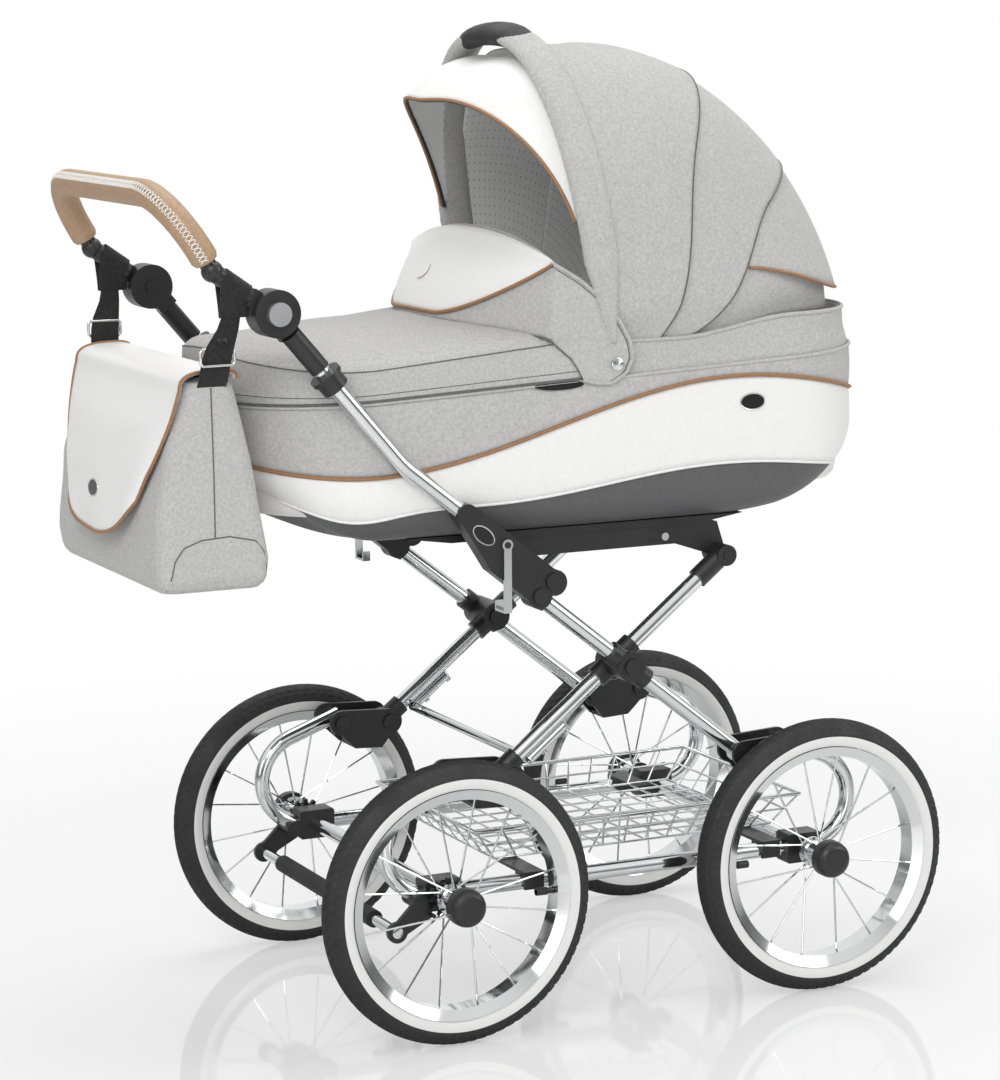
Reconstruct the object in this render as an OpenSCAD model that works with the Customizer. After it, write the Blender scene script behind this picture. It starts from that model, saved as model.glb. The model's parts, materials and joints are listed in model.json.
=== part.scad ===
// Bassinet pram: a carrycot with a folding hood on a scissor frame that hangs between C-springs,
// with four spoked wheels, a wire basket, a foot brake, a height and tilt adjustable handle and a bag.
// The handle is at -X, the hood at +X, the ground at Z = 0. Each side is the mirror of the other in Y.

/* [Wheels] */
// Outside diameter of the tyres
wheel_d = 350; // [330:1:370]
// Width of the tyre section
tyre_w = 42; // [38:0.5:44]
// Distance between the rear and the front axle
wheelbase = 506; // [490:1:520]
// Distance between the left and the right wheel planes
track = 507; // [503:1:515]
// Diameter of the axle rods
axle_d = 12; // [11:0.5:13]
// Diameter of a spoke
spoke_d = 2.4; // [2:0.1:3]
// Number of spokes in one wheel
spoke_count = 16; // [12:4:20]

/* [Chassis] */
// Diameter of the frame tubes
tube_d = 20; // [18:0.5:21]
// How far the spring tubes lie inside the wheel planes
spring_in = 53.5; // [52.5:0.5:54.5]
// Bend radius of the C-springs
spring_r = 60; // [56:1:64]
// How far the outer scissor tubes lie outside the spring tubes
outer_out = 12; // [11.5:0.25:13]
// How far the inner scissor tubes lie inside the spring tubes
inner_in = 24; // [23:0.25:25.5]
// Rise of the scissor tubes from the lower pivots to the crossing bolts
frame_rise = 126; // [121:1:131]
// Height of the lower scissor pivots
foot_z = 309; // [305:1:312]
// How far the lower scissor pivots lie inside the axles
foot_in = 94; // [91:1:96]
// Length of the inner tubes above the crossing bolts
inner_top_len = 196; // [190:1:200]

/* [Handle] */
// Distance from the crossing bolts to the bend of the push arms
arm_bend_len = 400; // [390:1:410]
// Length of the push arms above their bend
arm_top_len = 160; // [152:1:166]
// Distance from the bend to the tilt joints
joint_len = 250; // [246:1:256]
// Diameter of the leather grip
grip_d = 34; // [30:1:36]
// Reach of the grip beyond its two ends
grip_reach = 102; // [96:1:110]

/* [Carrycot] */
// Length of the carrycot
cot_len = 850; // [830:2:856]
// How far the carrycot's sides lie inside the push arms
cot_in = 12; // [12:0.5:16]
// Height of the tray's underside
tray_z = 606; // [606:1:616]
// Wall of the carrycot's panels
cot_wall = 8; // [6:0.5:10]
// Radius from the hood's pivot to the crown of its front section
hood_h = 392; // [384:1:396]

/* [Bag] */
// How far the bag's ends lie inside the push arms
bag_in = 22; // [20:1:32]
// Depth of the bag
bag_deep = 122; // [110:1:124]
// Height of the bag
bag_h = 258; // [240:1:262]

/* [Hidden] */
$fn = 72;
// cut overrun, gap between pieces that move, running clearance of a pin in its hole
over = 2;
gap = 0.3;
run = 0.05;

// wheel
wheel_r = wheel_d / 2;
tyre_r = tyre_w / 2;
tyre_c = wheel_r - tyre_r;
bead_drop = 14.5;
tyre_seat = tyre_c - bead_drop;
rim_lip_drop = 12;
rim_top = tyre_c - rim_lip_drop;
rim_h = 13;
rim_base = rim_top - rim_h;
rim_wall = 2;
rim_gap = 0.3;
rim_top_w = sqrt(tyre_r * tyre_r - rim_lip_drop * rim_lip_drop) + rim_gap + rim_wall;
rim_flare = 6.5;
rim_base_w = rim_top_w - rim_flare;
valve_d = 7.7;
valve_len = 34;
valve_hole_gap = 1;
hub_half = 28;
hub_end_r = 13;
flange_r = 19;
flange_z = 17;
flange_t = 3;
barrel_r = 14;
waist_r = 10.5;
spoke_in = 2;
lace_turn = 24;
cap_r = 23.5;
cap_round = 10;
cap_top = 14;
cap_z = flange_z + flange_t / 2 + gap;
axle_out = hub_half + over;
ring_r = 25;
ring_root = 18.5;
ring_t = 6;
ring_teeth = 12;
ring_z = hub_half + over / 2 + gap;

// spring tubes and axles
tube_r = tube_d / 2;
axle_z = wheel_r;
spring_set = 11.5;
spring_tail = 62;
spring_lift = 20;
spring_tip = 12;
spring_cx = wheelbase / 2 + spring_set;
spring_cz = axle_z + spring_r;
spring_end = [spring_cx + spring_r * sin(spring_lift) - spring_tail * cos(spring_lift),
              spring_cz + spring_r * cos(spring_lift) + spring_tail * sin(spring_lift)];
spring_y = track / 2 - spring_in;
clamp_w = 30;
clamp_half = 24;
clamp_h = 19;
clamp_wall = 5;

// brake: pivot, bar and tooth are placed from the rear axle or from the pivot
brake_px = -33;
brake_pz = -4;
brake_pin_r = 4;
brake_lug_r = 10;
brake_t = 6;
brake_bar_x = -31;
brake_bar_z = -34;
brake_bar_r = 7;
brake_sleeve_r = 11;
brake_sleeve_in = 50;
brake_sleeve_half = spring_y - brake_sleeve_in;
brake_boss_r = 13;
tooth_x = 13.4;
tooth_z = -16.6;
tooth_r = 2.5;
brake_y = spring_y + clamp_w / 2 + gap;

// suspension links
link_t = 5;
link_r = 17;
link_gap = 0.8;
eye_out = 0.4;
link_pin_r = 5;
link_drop = 34;
link_web = 5;
link_web_in = 20;
bolt_r = 10;
bolt_t = 3;
foot = [wheelbase / 2 - foot_in, foot_z];
link_dx = spring_end[0] - foot[0];
link_dz = spring_end[1] - foot[1];
link_len = sqrt(link_dx * link_dx + link_dz * link_dz);
link_turn = atan2(link_dz, link_dx);

// scissor tubes
outer_y = spring_y + outer_out;
inner_y = spring_y - inner_in;
mid_y = (outer_y + inner_y) / 2;
frame_run = 159;
tilt = atan2(frame_rise, frame_run);
leg_len = sqrt(frame_rise * frame_rise + frame_run * frame_run);
// feet further apart than the run move the outer tubes forward, and the crossing up both tubes
frame_shift = foot[0] - frame_run;
cross_up = frame_shift / cos(tilt);
cross_z = foot_z + frame_rise + cross_up * sin(tilt);
cross_pin_r = 6;
cross_boss_r = 19;
cross_sleeve_r = 14;
cross_sleeve_len = 64;
cross_skin = 4;
foot_plug_r = 13;
foot_plug_len = 30;
bar_r = 6;
bar_at = 162;
bar_leg = 60;
rivet_r = 4;
rivet_out = 2;
socket_r = 13;
socket_len = 46;

// top rails
rail_w = 16;
rail_h = 24;
rail_over = 14.613;
rail_up = 16;
rail_y1 = inner_y - socket_r - eye_out - gap;
rail_y0 = rail_y1 - rail_w;
rail_nose = 40;
rail_pin_r = 5;
rail_pin_len = 12;
rail_pin_in = 24;
rail_pin_front = 80;
top_pin_r = 5;

// hinge bracket, in the outer tube's own line: along it from the crossing bolts, and square to it
arm_off = 24;
bracket_from = 146;
bracket_to = 300;
bracket_step = 232;
bracket_wall = 3;
bracket_low = 16;
outer_top_len = 190;
peg_r = 6;
peg_along = 187.5;
peg_off = 18;
bracket_in = 2;
bail_along = 236;
bail_pin_r = 4;
bail_w = 10;
bail_t = 3;
bail_len = 80;
bail_boss_r = 7;
bail_gap = 1;

// push arm and telescopic sleeve, along the arm's upper line from its bend
arm_turn = 49.4;
arm_bend_r = 120;
bend_in = arm_bend_r * tan((arm_turn - tilt) / 2);
arm_bore_r = 8.5;
arm_bore_len = 118;
stem_len = 110;
collar_r = 17;
collar_len = 22;
collar_at = 130;
collar_lip_r = 20;
collar_lip = 6;
collar_stroke = 6;
sleeve_r = 12.5;
sleeve_end = 34;
disc_r = 28;
disc_t = 14;
joint_pin_r = 8;
button_r = 14;
button_in = 6;
button_out = 7;
button_stroke = 4;

// handle
stub_turn = 35;
stub_len = 89;
stub_r = 11;
stub_start = 34;
elbow_r = 13;
grip_turn = 58.8;
grip_round = 80;
handle_r = 10;
handle_y = outer_y + 2 * gap;

// bag
bag_back = 488;
bag_w = 2 * (outer_y - bag_in);
bag_x1 = frame_shift - bag_back;
bag_x0 = bag_x1 - bag_deep;
bag_z0 = 564;
bag_z1 = bag_z0 + bag_h;
bag_wall = 6;
bag_round = 36;
flap_t = 4;
flap_drop = 190;
flap_r = 60;
strap_t = 4;
strap_w = 26;
strap_at = 58;
strap_drop = 34;
strap_pin_r = 3;
strap_eye_r = 8;
strap_low = 60;
loop_t = 3.5;
loop_w = 28;

// basket
wire = 3.2;
basket_rear_in = 73;
basket_front_out = 27;
basket_side_in = 45;
basket_rear_flare = 30;
basket_front_flare = 35;
basket_side_flare = 15;
basket_x0 = basket_rear_in - wheelbase / 2;
basket_x1 = wheelbase / 2 + basket_front_out;
basket_y = spring_y - basket_side_in;
basket_top = 230;
basket_floor_x0 = basket_x0 + basket_rear_flare;
basket_floor_x1 = basket_x1 - basket_front_flare;
basket_floor_y = basket_y - basket_side_flare;
basket_cells = [13, 8];
side_cells = 2;
clip_rear_in = 123;
clip_front_in = 48;
clip_x = [clip_rear_in - wheelbase / 2, wheelbase / 2 - clip_front_in];
clip_half = 13;
clip_t = 4;
clip_reach = 84;
clip_skirt = 8;
basket_z = axle_z + tube_r + clip_t;

// carrycot
cot_mid = -39;
cot_x0 = cot_mid - cot_len / 2;
cot_x1 = cot_mid + cot_len / 2;
cot_y = outer_y - cot_in;
cot_w = 2 * cot_y;
cot_end_half = 50;
cot_round = cot_y - cot_end_half;
tray_flat0 = -300;
tray_flat1 = 150;
tray_rise = 60;
tray_corner = 60;
wave1_mid = 662;
wave1_amp = 15;
wave1_x = -190;
wave1_half = 340;
wave2_mid = 737;
wave2_amp = 48;
wave2_x = -340;
wave2_half = 505;
rim_z = 771;
rim_slope_share = 0.045;
wave_step = 50;
corner_steps = 12;
tray_steps = 8;
seam = 0.2;
mattress_top = 700;
mattress_crown_r = 900;
crown_turn = 14;
adapter_w = 20;
adapter_x0 = -275;
adapter_x1 = 190;
adapter_h = tray_z - (foot_z + frame_rise + inner_top_len * sin(tilt) + rail_up + rail_h) - gap;
adapter_taper = 60;

// foot cover and wind collar
cover_ridge = 842;
cover_slope = 4.9;
cover_crown_r = 728;
cover_wall = 8;
collar_tilt = 39;
collar_round_out = 36;
collar_round = cot_y + collar_round_out;
collar_x = -200;
collar_z = 850;
collar_h = 150;
collar_t = 6;
collar_sweep = 58;
lapel_h = 118;
lapel_t = 5;
lapel_sweep = 50;
collar_clear_turn = 18;
lapel_clear = 10;
ear_r = 27;
ear_t = 4;
stud_r = 7;
stud_out = 4;

// hood, turned about its pivot; angles run back from the upright
pivot = [-10, 808];
hood_in = 5;
hood_w = cot_y - hood_in;
hood_bulge = 12;
hood_wall = 3.5;
hood_step = 4.5;
hood_power = 3;
hood_from = 60;
hood_front_turn = -11;
hood_sector_turn = 31;
hood_lap_turn = 2;
bow_front_turn = -16;
bow_t = 14;
bow_out = 8;
bow_from = 44;
carry_half = 74;
carry_t = 12;
visor_front_turn = -26;
visor_drop = 30;
visor_from = 170;
visor_wall = 4;
visor_rim_turn = 1;
hem_z = 835;
hem_slope_share = 0.09;
head_x = 4;
head_in = 10;
head_wall_t = 6;
head_sill_h = 14;
arch_steps = 40;

chrome = "gainsboro";
black = [0.09, 0.09, 0.1];
rubber = [0.14, 0.14, 0.15];
cloth = [0.74, 0.73, 0.72];
pale = [0.95, 0.95, 0.94];
tan_hide = [0.70, 0.53, 0.38];
moulded = [0.28, 0.28, 0.29];

// helpers
module on_base() { translate([base_x, 0, 0]) children(); }

// the carrycot keeps its place over the outer tubes
module on_cot() { translate([base_x + frame_shift, 0, 0]) children(); }

module both_sides() {
  children();
  mirror([0, 1, 0]) children();
}

// a solid of an outline drawn in X and Z, from y0 to y1
module slab(y0, y1) {
  translate([0, y1, 0]) rotate([90, 0, 0]) linear_extrude(y1 - y0) children();
}

module y_rod(x, z, y0, y1, r) {
  translate([x, y0, z]) rotate([-90, 0, 0]) cylinder(h = y1 - y0, r = r);
}

// a rod from p to q; sides = 0 keeps it round
module rod(p, q, r, sides = 0) {
  d = q - p;
  len = norm(d);
  translate(p) rotate([0, acos(d[2] / len), atan2(d[1], d[0])])
    cylinder(h = len, r = r, $fn = sides > 0 ? sides : $fn);
}

// a point on the outer or inner tube's line: u along it from a leg's length above the foot, v square to it
function on_outer(u, v = 0) = [frame_shift - u * cos(tilt) + v * sin(tilt),
                               foot_z + frame_rise + u * sin(tilt) + v * cos(tilt)];
function on_inner(u, v = 0) = [u * cos(tilt) + v * sin(tilt) - frame_shift,
                               foot_z + frame_rise + u * sin(tilt) - v * cos(tilt)];
function at_y(p, y) = [p[0], y, p[1]];

arm_bend = on_outer(arm_bend_len, arm_off);
function on_arm(s, v = 0) = [arm_bend[0] - s * cos(arm_turn) + v * sin(arm_turn),
                             arm_bend[1] + s * sin(arm_turn) + v * cos(arm_turn)];
joint = on_arm(joint_len);
stub_end = [joint[0] - stub_len * cos(stub_turn), joint[1] + stub_len * sin(stub_turn)];
inner_top = on_inner(inner_top_len);
rail_len = inner_top[0] - on_outer(peg_along, peg_off)[0] + rail_over;
// where the middle of the wheelbase lies when the part is centred on the origin
base_x = (gap + flap_t - bag_x0 - wheelbase / 2 - wheel_r) / 2;

// wheels
module place_wheel(end, side) {
  on_base() translate([end * wheelbase / 2, side * track / 2, axle_z]) rotate([-90 * side, 0, 0]) children();
}

module tyre(end) {
  color(rubber) {
    rotate_extrude() intersection() {
      translate([tyre_c, 0]) circle(r = tyre_r);
      translate([tyre_seat, -tyre_r]) square([tyre_w, tyre_w]);
    }
    rotate([0, 0, end < 0 ? 0 : 180]) translate([tyre_seat - valve_len, 0, 0]) rotate([0, 90, 0])
      cylinder(h = valve_len + over, d = valve_d);
  }
}

module rim(end) {
  color(chrome) difference() {
    union() {
      rotate_extrude() polygon([
        [rim_base, -rim_base_w], [rim_top, -rim_top_w], [rim_top, rim_wall - rim_top_w],
        [rim_base + rim_wall, rim_wall - rim_base_w], [rim_base + rim_wall, rim_base_w - rim_wall],
        [rim_top, rim_top_w - rim_wall], [rim_top, rim_top_w], [rim_base, rim_base_w]]);
      rotate_extrude() polygon([
        [axle_d / 2 + run, -hub_half], [hub_end_r, -hub_half], [hub_end_r, -flange_z - flange_t / 2],
        [flange_r, -flange_z - flange_t / 2], [flange_r, flange_t / 2 - flange_z],
        [barrel_r, flange_t / 2 - flange_z], [waist_r, 0], [barrel_r, flange_z - flange_t / 2],
        [flange_r, flange_z - flange_t / 2], [flange_r, flange_z + flange_t / 2],
        [hub_end_r, flange_z + flange_t / 2], [hub_end_r, hub_half], [axle_d / 2 + run, hub_half]]);
      for (i = [0 : spoke_count - 1]) {
        a = (i + 0.5) * 360 / spoke_count;
        b = a + (i % 4 < 2 ? lace_turn : -lace_turn);
        z = i % 2 == 0 ? flange_z : -flange_z;
        r0 = flange_r - spoke_in;
        r1 = rim_base + rim_wall / 2;
        rod([r0 * cos(b), r0 * sin(b), z], [r1 * cos(a), r1 * sin(a), 0], spoke_d / 2, 6);
      }
    }
    rotate([0, 0, end < 0 ? 0 : 180]) translate([rim_base - over, 0, 0]) rotate([0, 90, 0])
      cylinder(h = rim_h + over, d = valve_d + 2 * valve_hole_gap);
  }
}

// black dome over the hub's outer end; the rear hubs carry the toothed brake ring on the inner end
module hub(end) {
  color(black) {
    difference() {
      rotate_extrude() polygon(concat(
        [[0, cap_z], [cap_r, cap_z]],
        [for (a = [0 : 15 : 90]) [cap_r - cap_round + cap_round * cos(a), hub_half + cap_top * sin(a)]],
        [[0, hub_half + cap_top]]));
      translate([0, 0, cap_z - over]) cylinder(h = hub_half - cap_z + over, r = hub_end_r);
      cylinder(h = axle_out + gap, r = axle_d / 2 + gap);
    }
    if (end < 0) translate([0, 0, -ring_z]) difference() {
      union() {
        cylinder(h = ring_t, r = ring_root);
        for (i = [0 : ring_teeth - 1]) rotate([0, 0, i * 360 / ring_teeth])
          linear_extrude(ring_t) polygon([
            [0, ring_root / 6], [ring_root, ring_root / 6], [ring_r, ring_root / 9],
            [ring_r, -ring_root / 9], [ring_root, -ring_root / 6], [0, -ring_root / 6]]);
      }
      translate([0, 0, -over]) cylinder(h = ring_t + 2 * over, r = hub_end_r);
    }
  }
}

// centre line of a spring tube as a solid: C-spring, straight lower run, C-spring
module spring_path(r) {
  translate([-spring_cx, 0, axle_z]) rotate([0, 90, 0]) cylinder(h = 2 * spring_cx, r = r);
  for (m = [0, 1]) mirror([m, 0, 0]) {
    translate([spring_cx, 0, spring_cz]) rotate([90, 0, 0])
      rotate_extrude(angle = 180 - spring_lift, start = -90) translate([spring_r, 0]) circle(r = r);
    rod([spring_end[0] + spring_tail * cos(spring_lift), 0, spring_end[1] - spring_tail * sin(spring_lift)],
        [spring_end[0] - spring_tip * cos(spring_lift), 0, spring_end[1] + spring_tip * sin(spring_lift)], r);
  }
}

module spring_tube(side) {
  color(chrome) on_base() translate([0, side * spring_y, 0]) difference() {
    spring_path(tube_r);
    for (end = [-1, 1]) {
      y_rod(end * wheelbase / 2, axle_z, -tube_d, tube_d, axle_d / 2);
      y_rod(end * spring_end[0], spring_end[1], -tube_d, tube_d, link_pin_r);
    }
  }
}

module axles() {
  color(chrome) on_base() for (end = [-1, 1]) {
    y_rod(end * wheelbase / 2, axle_z, -track / 2 - axle_out, track / 2 + axle_out, axle_d / 2);
    y_rod(end * wheelbase / 2, axle_z, clamp_w / 2 - spring_y, spring_y - clamp_w / 2, tube_r);
  }
}

// clamp blocks that hold the axles on the spring tubes; the rear ones carry the brake's pivot pins
module axle_clamps() {
  color(black) on_base() both_sides() for (end = [-1, 1]) {
    difference() {
      translate([end * wheelbase / 2, 0, axle_z])
          slab(spring_y - clamp_w / 2, spring_y + clamp_w / 2) union() {
        intersection() {
          translate([-clamp_half, -clamp_h]) square([2 * clamp_half, 2 * clamp_h]);
          circle(r = clamp_half + clamp_wall);
        }
        if (end < 0) translate([brake_px, brake_pz]) circle(r = brake_lug_r);
        if (end < 0) translate([brake_px, brake_pz - brake_lug_r]) square([-brake_px, 2 * brake_lug_r]);
      }
      translate([0, spring_y, 0]) spring_path(tube_r + run);
      y_rod(end * wheelbase / 2, axle_z, 0, track, axle_d / 2);
    }
    if (end < 0) translate([end * wheelbase / 2, 0, axle_z])
      y_rod(brake_px, brake_pz, spring_y + clamp_w / 2 - clamp_wall, brake_y + brake_t + gap, brake_pin_r);
  }
}

// pins that carry the suspension links at the C-spring ends
module spring_bolts() {
  color(black) on_base() both_sides() for (end = [-1, 1]) {
    y0 = link_y0(end) - link_t - bolt_t;
    y1 = link_y1(end) + link_t;
    x = end * spring_end[0];
    y_rod(x, spring_end[1], y0, y1 + bolt_t, link_pin_r);
    y_rod(x, spring_end[1], y0, y0 + bolt_t - gap, bolt_r);
    y_rod(x, spring_end[1], y1 + gap, y1 + bolt_t, bolt_r);
  }
}

// inner and outer face of a link's fork: the rear links hold the inner tubes, the front ones the outer tubes
function link_y0(end) = (end < 0 ? inner_y - foot_plug_r : spring_y - tube_r) - link_gap;
function link_y1(end) = (end < 0 ? spring_y + tube_r : outer_y + tube_r) + link_gap;

module link_outline() {
  circle(r = link_r);
  translate([link_len, 0]) circle(r = link_r);
  translate([0, -link_r]) square([link_len, 2 * link_r]);
  polygon([[0, -link_r], [link_web_in, -link_drop], [link_len - link_web_in / 2, -link_drop],
           [link_len + link_r / 2, -link_r / 2], [0, 0]]);
}

// one suspension link: two cheeks joined by a web under the tube ends, drawn from the spring end inwards
module link(end) {
  y0 = link_y0(end);
  y1 = link_y1(end);
  color(black) on_base() both_sides() translate([end * spring_end[0], 0, spring_end[1]])
    mirror([end > 0 ? 1 : 0, 0, 0]) rotate([0, link_turn, 0]) {
      difference() {
        union() {
          slab(y0 - link_t, y0) link_outline();
          slab(y1, y1 + link_t) link_outline();
          slab(y0 - link_t, y1 + link_t) translate([link_web_in, -link_drop])
            square([link_len - 1.5 * link_web_in, link_web]);
        }
        y_rod(0, 0, 0, track, link_pin_r + run);
        if (end < 0) y_rod(link_len, 0, 0, track, link_pin_r + run);
      }
      if (end > 0) {
        y_rod(link_len, 0, y1 + link_t, y1 + link_t + bolt_t, bolt_r);
        y_rod(link_len, 0, y0 - link_t - bolt_t, y0 - link_t, bolt_r);
      }
    }
}

// scissor frame
module inner_tubes() {
  color(chrome) on_base() both_sides() difference() {
    rod(at_y(on_inner(-leg_len), inner_y), at_y(inner_top, inner_y), tube_r);
    y_rod(0, cross_z, 0, track, cross_pin_r + run);
    y_rod(-foot[0], foot[1], 0, track, link_pin_r + run);
    y_rod(inner_top[0], inner_top[1], 0, track, top_pin_r + run);
  }
}

// black plugs at the lower ends with the link bolts, and the crossing sleeves
module inner_sleeves() {
  color(black) on_base() both_sides() {
    difference() {
      union() {
        rod(at_y(on_inner(cross_up - cross_sleeve_len / 2), inner_y),
            at_y(on_inner(cross_up + cross_sleeve_len / 2), inner_y), cross_sleeve_r);
        y_rod(0, cross_z, inner_y - cross_sleeve_r, mid_y - gap / 2, cross_boss_r);
      }
      rod(at_y(on_inner(-leg_len), inner_y), at_y(inner_top, inner_y), tube_r);
      y_rod(0, cross_z, 0, track, cross_pin_r + run);
    }
    difference() {
      union() {
        rod(at_y(on_inner(foot_plug_len - leg_len), inner_y), at_y(on_inner(-leg_len), inner_y), foot_plug_r);
        y_rod(-foot[0], foot[1], inner_y - foot_plug_r - eye_out, inner_y + foot_plug_r + eye_out,
              foot_plug_r + eye_out);
      }
      rod(at_y(on_inner(-leg_len), inner_y), at_y(inner_top, inner_y), tube_r);
    }
    y0 = link_y0(-1) - link_t - bolt_t;
    y1 = link_y1(-1) + link_t;
    y_rod(-foot[0], foot[1], y0, y1 + bolt_t, link_pin_r);
    y_rod(-foot[0], foot[1], y0, y0 + bolt_t - gap, bolt_r);
    y_rod(-foot[0], foot[1], y1 + gap, y1 + bolt_t, bolt_r);
  }
}

// black sockets on the upper ends of the inner tubes, with the pins that carry the top rails
module top_sockets() {
  color(black) on_base() both_sides() {
    difference() {
      union() {
        rod(at_y(on_inner(inner_top_len - socket_len), inner_y), at_y(inner_top, inner_y), socket_r);
        y_rod(inner_top[0], inner_top[1], inner_y - socket_r - eye_out, inner_y + socket_r + eye_out,
              socket_r + eye_out);
      }
      rod(at_y(on_inner(-leg_len), inner_y), at_y(inner_top, inner_y), tube_r);
    }
    y_rod(inner_top[0], inner_top[1], rail_y0 - gap, inner_y + socket_r + bolt_t / 2, top_pin_r);
  }
}

module inner_fittings() {
  inner_sleeves();
  top_sockets();
}

// flat ended U bar between the inner tubes, below the crossing
module cross_bar() {
  color(chrome) on_base() {
    low = on_inner(-bar_at, tube_r + bar_r);
    high = on_inner(bar_leg - bar_at, tube_r + bar_r);
    y_rod(low[0], low[1], -inner_y, inner_y, bar_r);
    both_sides() {
      rod(at_y(low, inner_y), at_y(high, inner_y), bar_r);
      translate(at_y(low, inner_y)) sphere(r = bar_r + gap);
      for (s = [bar_leg / 3, bar_leg])
        rod(at_y(on_inner(s - bar_at, tube_r), inner_y),
            at_y(on_inner(s - bar_at, tube_r + 2 * bar_r + rivet_out), inner_y), rivet_r);
    }
  }
}

module outer_tubes() {
  color(chrome) on_base() both_sides() {
    difference() {
      union() {
        rod(at_y(on_outer(-leg_len), outer_y), at_y(on_outer(outer_top_len), outer_y), tube_r);
        y_rod(foot[0], foot[1], outer_y - tube_r - eye_out, outer_y + tube_r + eye_out, foot_plug_r);
      }
      y_rod(0, cross_z, 0, track, cross_pin_r + run);
      y_rod(foot[0], foot[1], 0, track, link_pin_r);
    }
  }
}

module outer_sleeves() {
  color(black) on_base() both_sides() {
    difference() {
      union() {
        rod(at_y(on_outer(cross_up - cross_sleeve_len / 2), outer_y),
            at_y(on_outer(cross_up + cross_sleeve_len / 2), outer_y), cross_sleeve_r);
        y_rod(0, cross_z, mid_y + gap / 2, outer_y + cross_sleeve_r, cross_boss_r);
      }
      rod(at_y(on_outer(-leg_len), outer_y), at_y(on_outer(outer_top_len), outer_y), tube_r);
    }
    y_rod(0, cross_z, inner_y - cross_sleeve_r - bolt_t, outer_y + cross_sleeve_r + bolt_t / 2, cross_pin_r);
    y_rod(0, cross_z, inner_y - cross_sleeve_r - bolt_t, inner_y - cross_sleeve_r - gap, bolt_r);
    y_rod(0, cross_z, outer_y + cross_sleeve_r, outer_y + cross_sleeve_r + bolt_t, bolt_r);
  }
}

// rail under the carrycot on each side: a bar with a nose that drops to the front top pin
module top_rails() {
  x1 = inner_top[0] - rail_nose / 2;
  z0 = inner_top[1] + rail_up;
  color(black) on_base() both_sides() difference() {
    slab(rail_y0, rail_y1) union() {
      translate([inner_top[0] - rail_len, z0]) square([rail_len - rail_nose / 2, rail_h]);
      translate([inner_top[0] - rail_len, z0 + rail_h / 2]) circle(r = rail_h / 2);
      polygon([[x1 - rail_nose, z0], [x1 - rail_nose, z0 + rail_h], [x1 + rail_nose / 2, z0 + rail_h],
               [inner_top[0] + socket_r, inner_top[1]], [inner_top[0] - socket_r, inner_top[1]]]);
      translate(inner_top) circle(r = socket_r);
    }
    y_rod(inner_top[0], inner_top[1], 0, track, top_pin_r + run);
    for (x = [rail_pin_in, rail_len - rail_pin_front])
      y_rod(inner_top[0] - rail_len + x, z0 + rail_h / 2, 0, track, rail_pin_r);
  }
}

module rail_pins() {
  z = inner_top[1] + rail_up + rail_h / 2;
  color(chrome) on_base() both_sides() for (x = [rail_pin_in, rail_len - rail_pin_front])
    y_rod(inner_top[0] - rail_len + x, z, rail_y0, rail_y1 + rail_pin_len, rail_pin_r);
}

// hinge bracket: a two lobed moulding over the ends of the outer tube and the push arm
module bracket_outline() {
  r = tube_r + bracket_wall;
  function p(u, v) = on_outer(u, v);
  polygon([p(bracket_from, -r), p(bracket_from, arm_off + r), p(bracket_to, arm_off + r),
           p(bracket_to, arm_off - r), p(bracket_step, -r)]);
  translate(p(bracket_from + r, 0)) circle(r = r + bracket_wall);
  translate(p(bracket_from + r / 2, arm_off)) circle(r = r + bracket_wall);
  translate(p(bracket_step - r, 0)) circle(r = r);
  translate(p(bracket_to, arm_off)) circle(r = r);
}

module hinge_brackets() {
  peg = [on_outer(peg_along, peg_off)[0], inner_top[1] + rail_up - gap - peg_r];
  pin = on_outer(bail_along, arm_off);
  y0 = outer_y - tube_r - bracket_in;
  y1 = outer_y + tube_r + bracket_wall;
  color(black) on_base() both_sides() {
    difference() {
      slab(y0, y1) bracket_outline();
      rod(at_y(on_outer(-leg_len), outer_y), at_y(on_outer(outer_top_len), outer_y), tube_r);
      rod(at_y(on_outer(bracket_from + tube_r, arm_off), outer_y), at_y(arm_bend, outer_y), tube_r);
    }
    y_rod(peg[0], peg[1], rail_y0, y0 + bracket_in / 2, peg_r);
    for (b = [on_outer(bracket_from + tube_r + bracket_wall, 0), on_outer(bracket_from + tube_r, arm_off)])
      y_rod(b[0], b[1], y1 - bracket_wall / 2, y1 + bolt_t, bolt_r);
    y_rod(pin[0], pin[1], y1 - bracket_wall / 2, y1 + bail_gap + bail_t + bail_gap, bail_pin_r);
  }
}

// bent push arm: lower leg beside the outer tube, upper leg bored for the telescopic stem
module push_arms() {
  color(chrome) on_base() both_sides() difference() {
    union() {
      rod(at_y(on_outer(bracket_from + tube_r, arm_off), outer_y),
          at_y(on_outer(arm_bend_len - bend_in, arm_off), outer_y), tube_r);
      translate(at_y(on_outer(arm_bend_len - bend_in, arm_off + arm_bend_r), outer_y)) rotate([90, 0, 0])
        rotate_extrude(angle = arm_turn - tilt, start = 270 - arm_turn)
          translate([arm_bend_r, 0]) circle(r = tube_r);
      rod(at_y(on_arm(bend_in), outer_y), at_y(on_arm(arm_top_len), outer_y), tube_r);
    }
    rod(at_y(on_arm(arm_top_len - arm_bore_len), outer_y), at_y(on_arm(arm_top_len + over), outer_y),
        arm_bore_r + run);
  }
}

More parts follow.
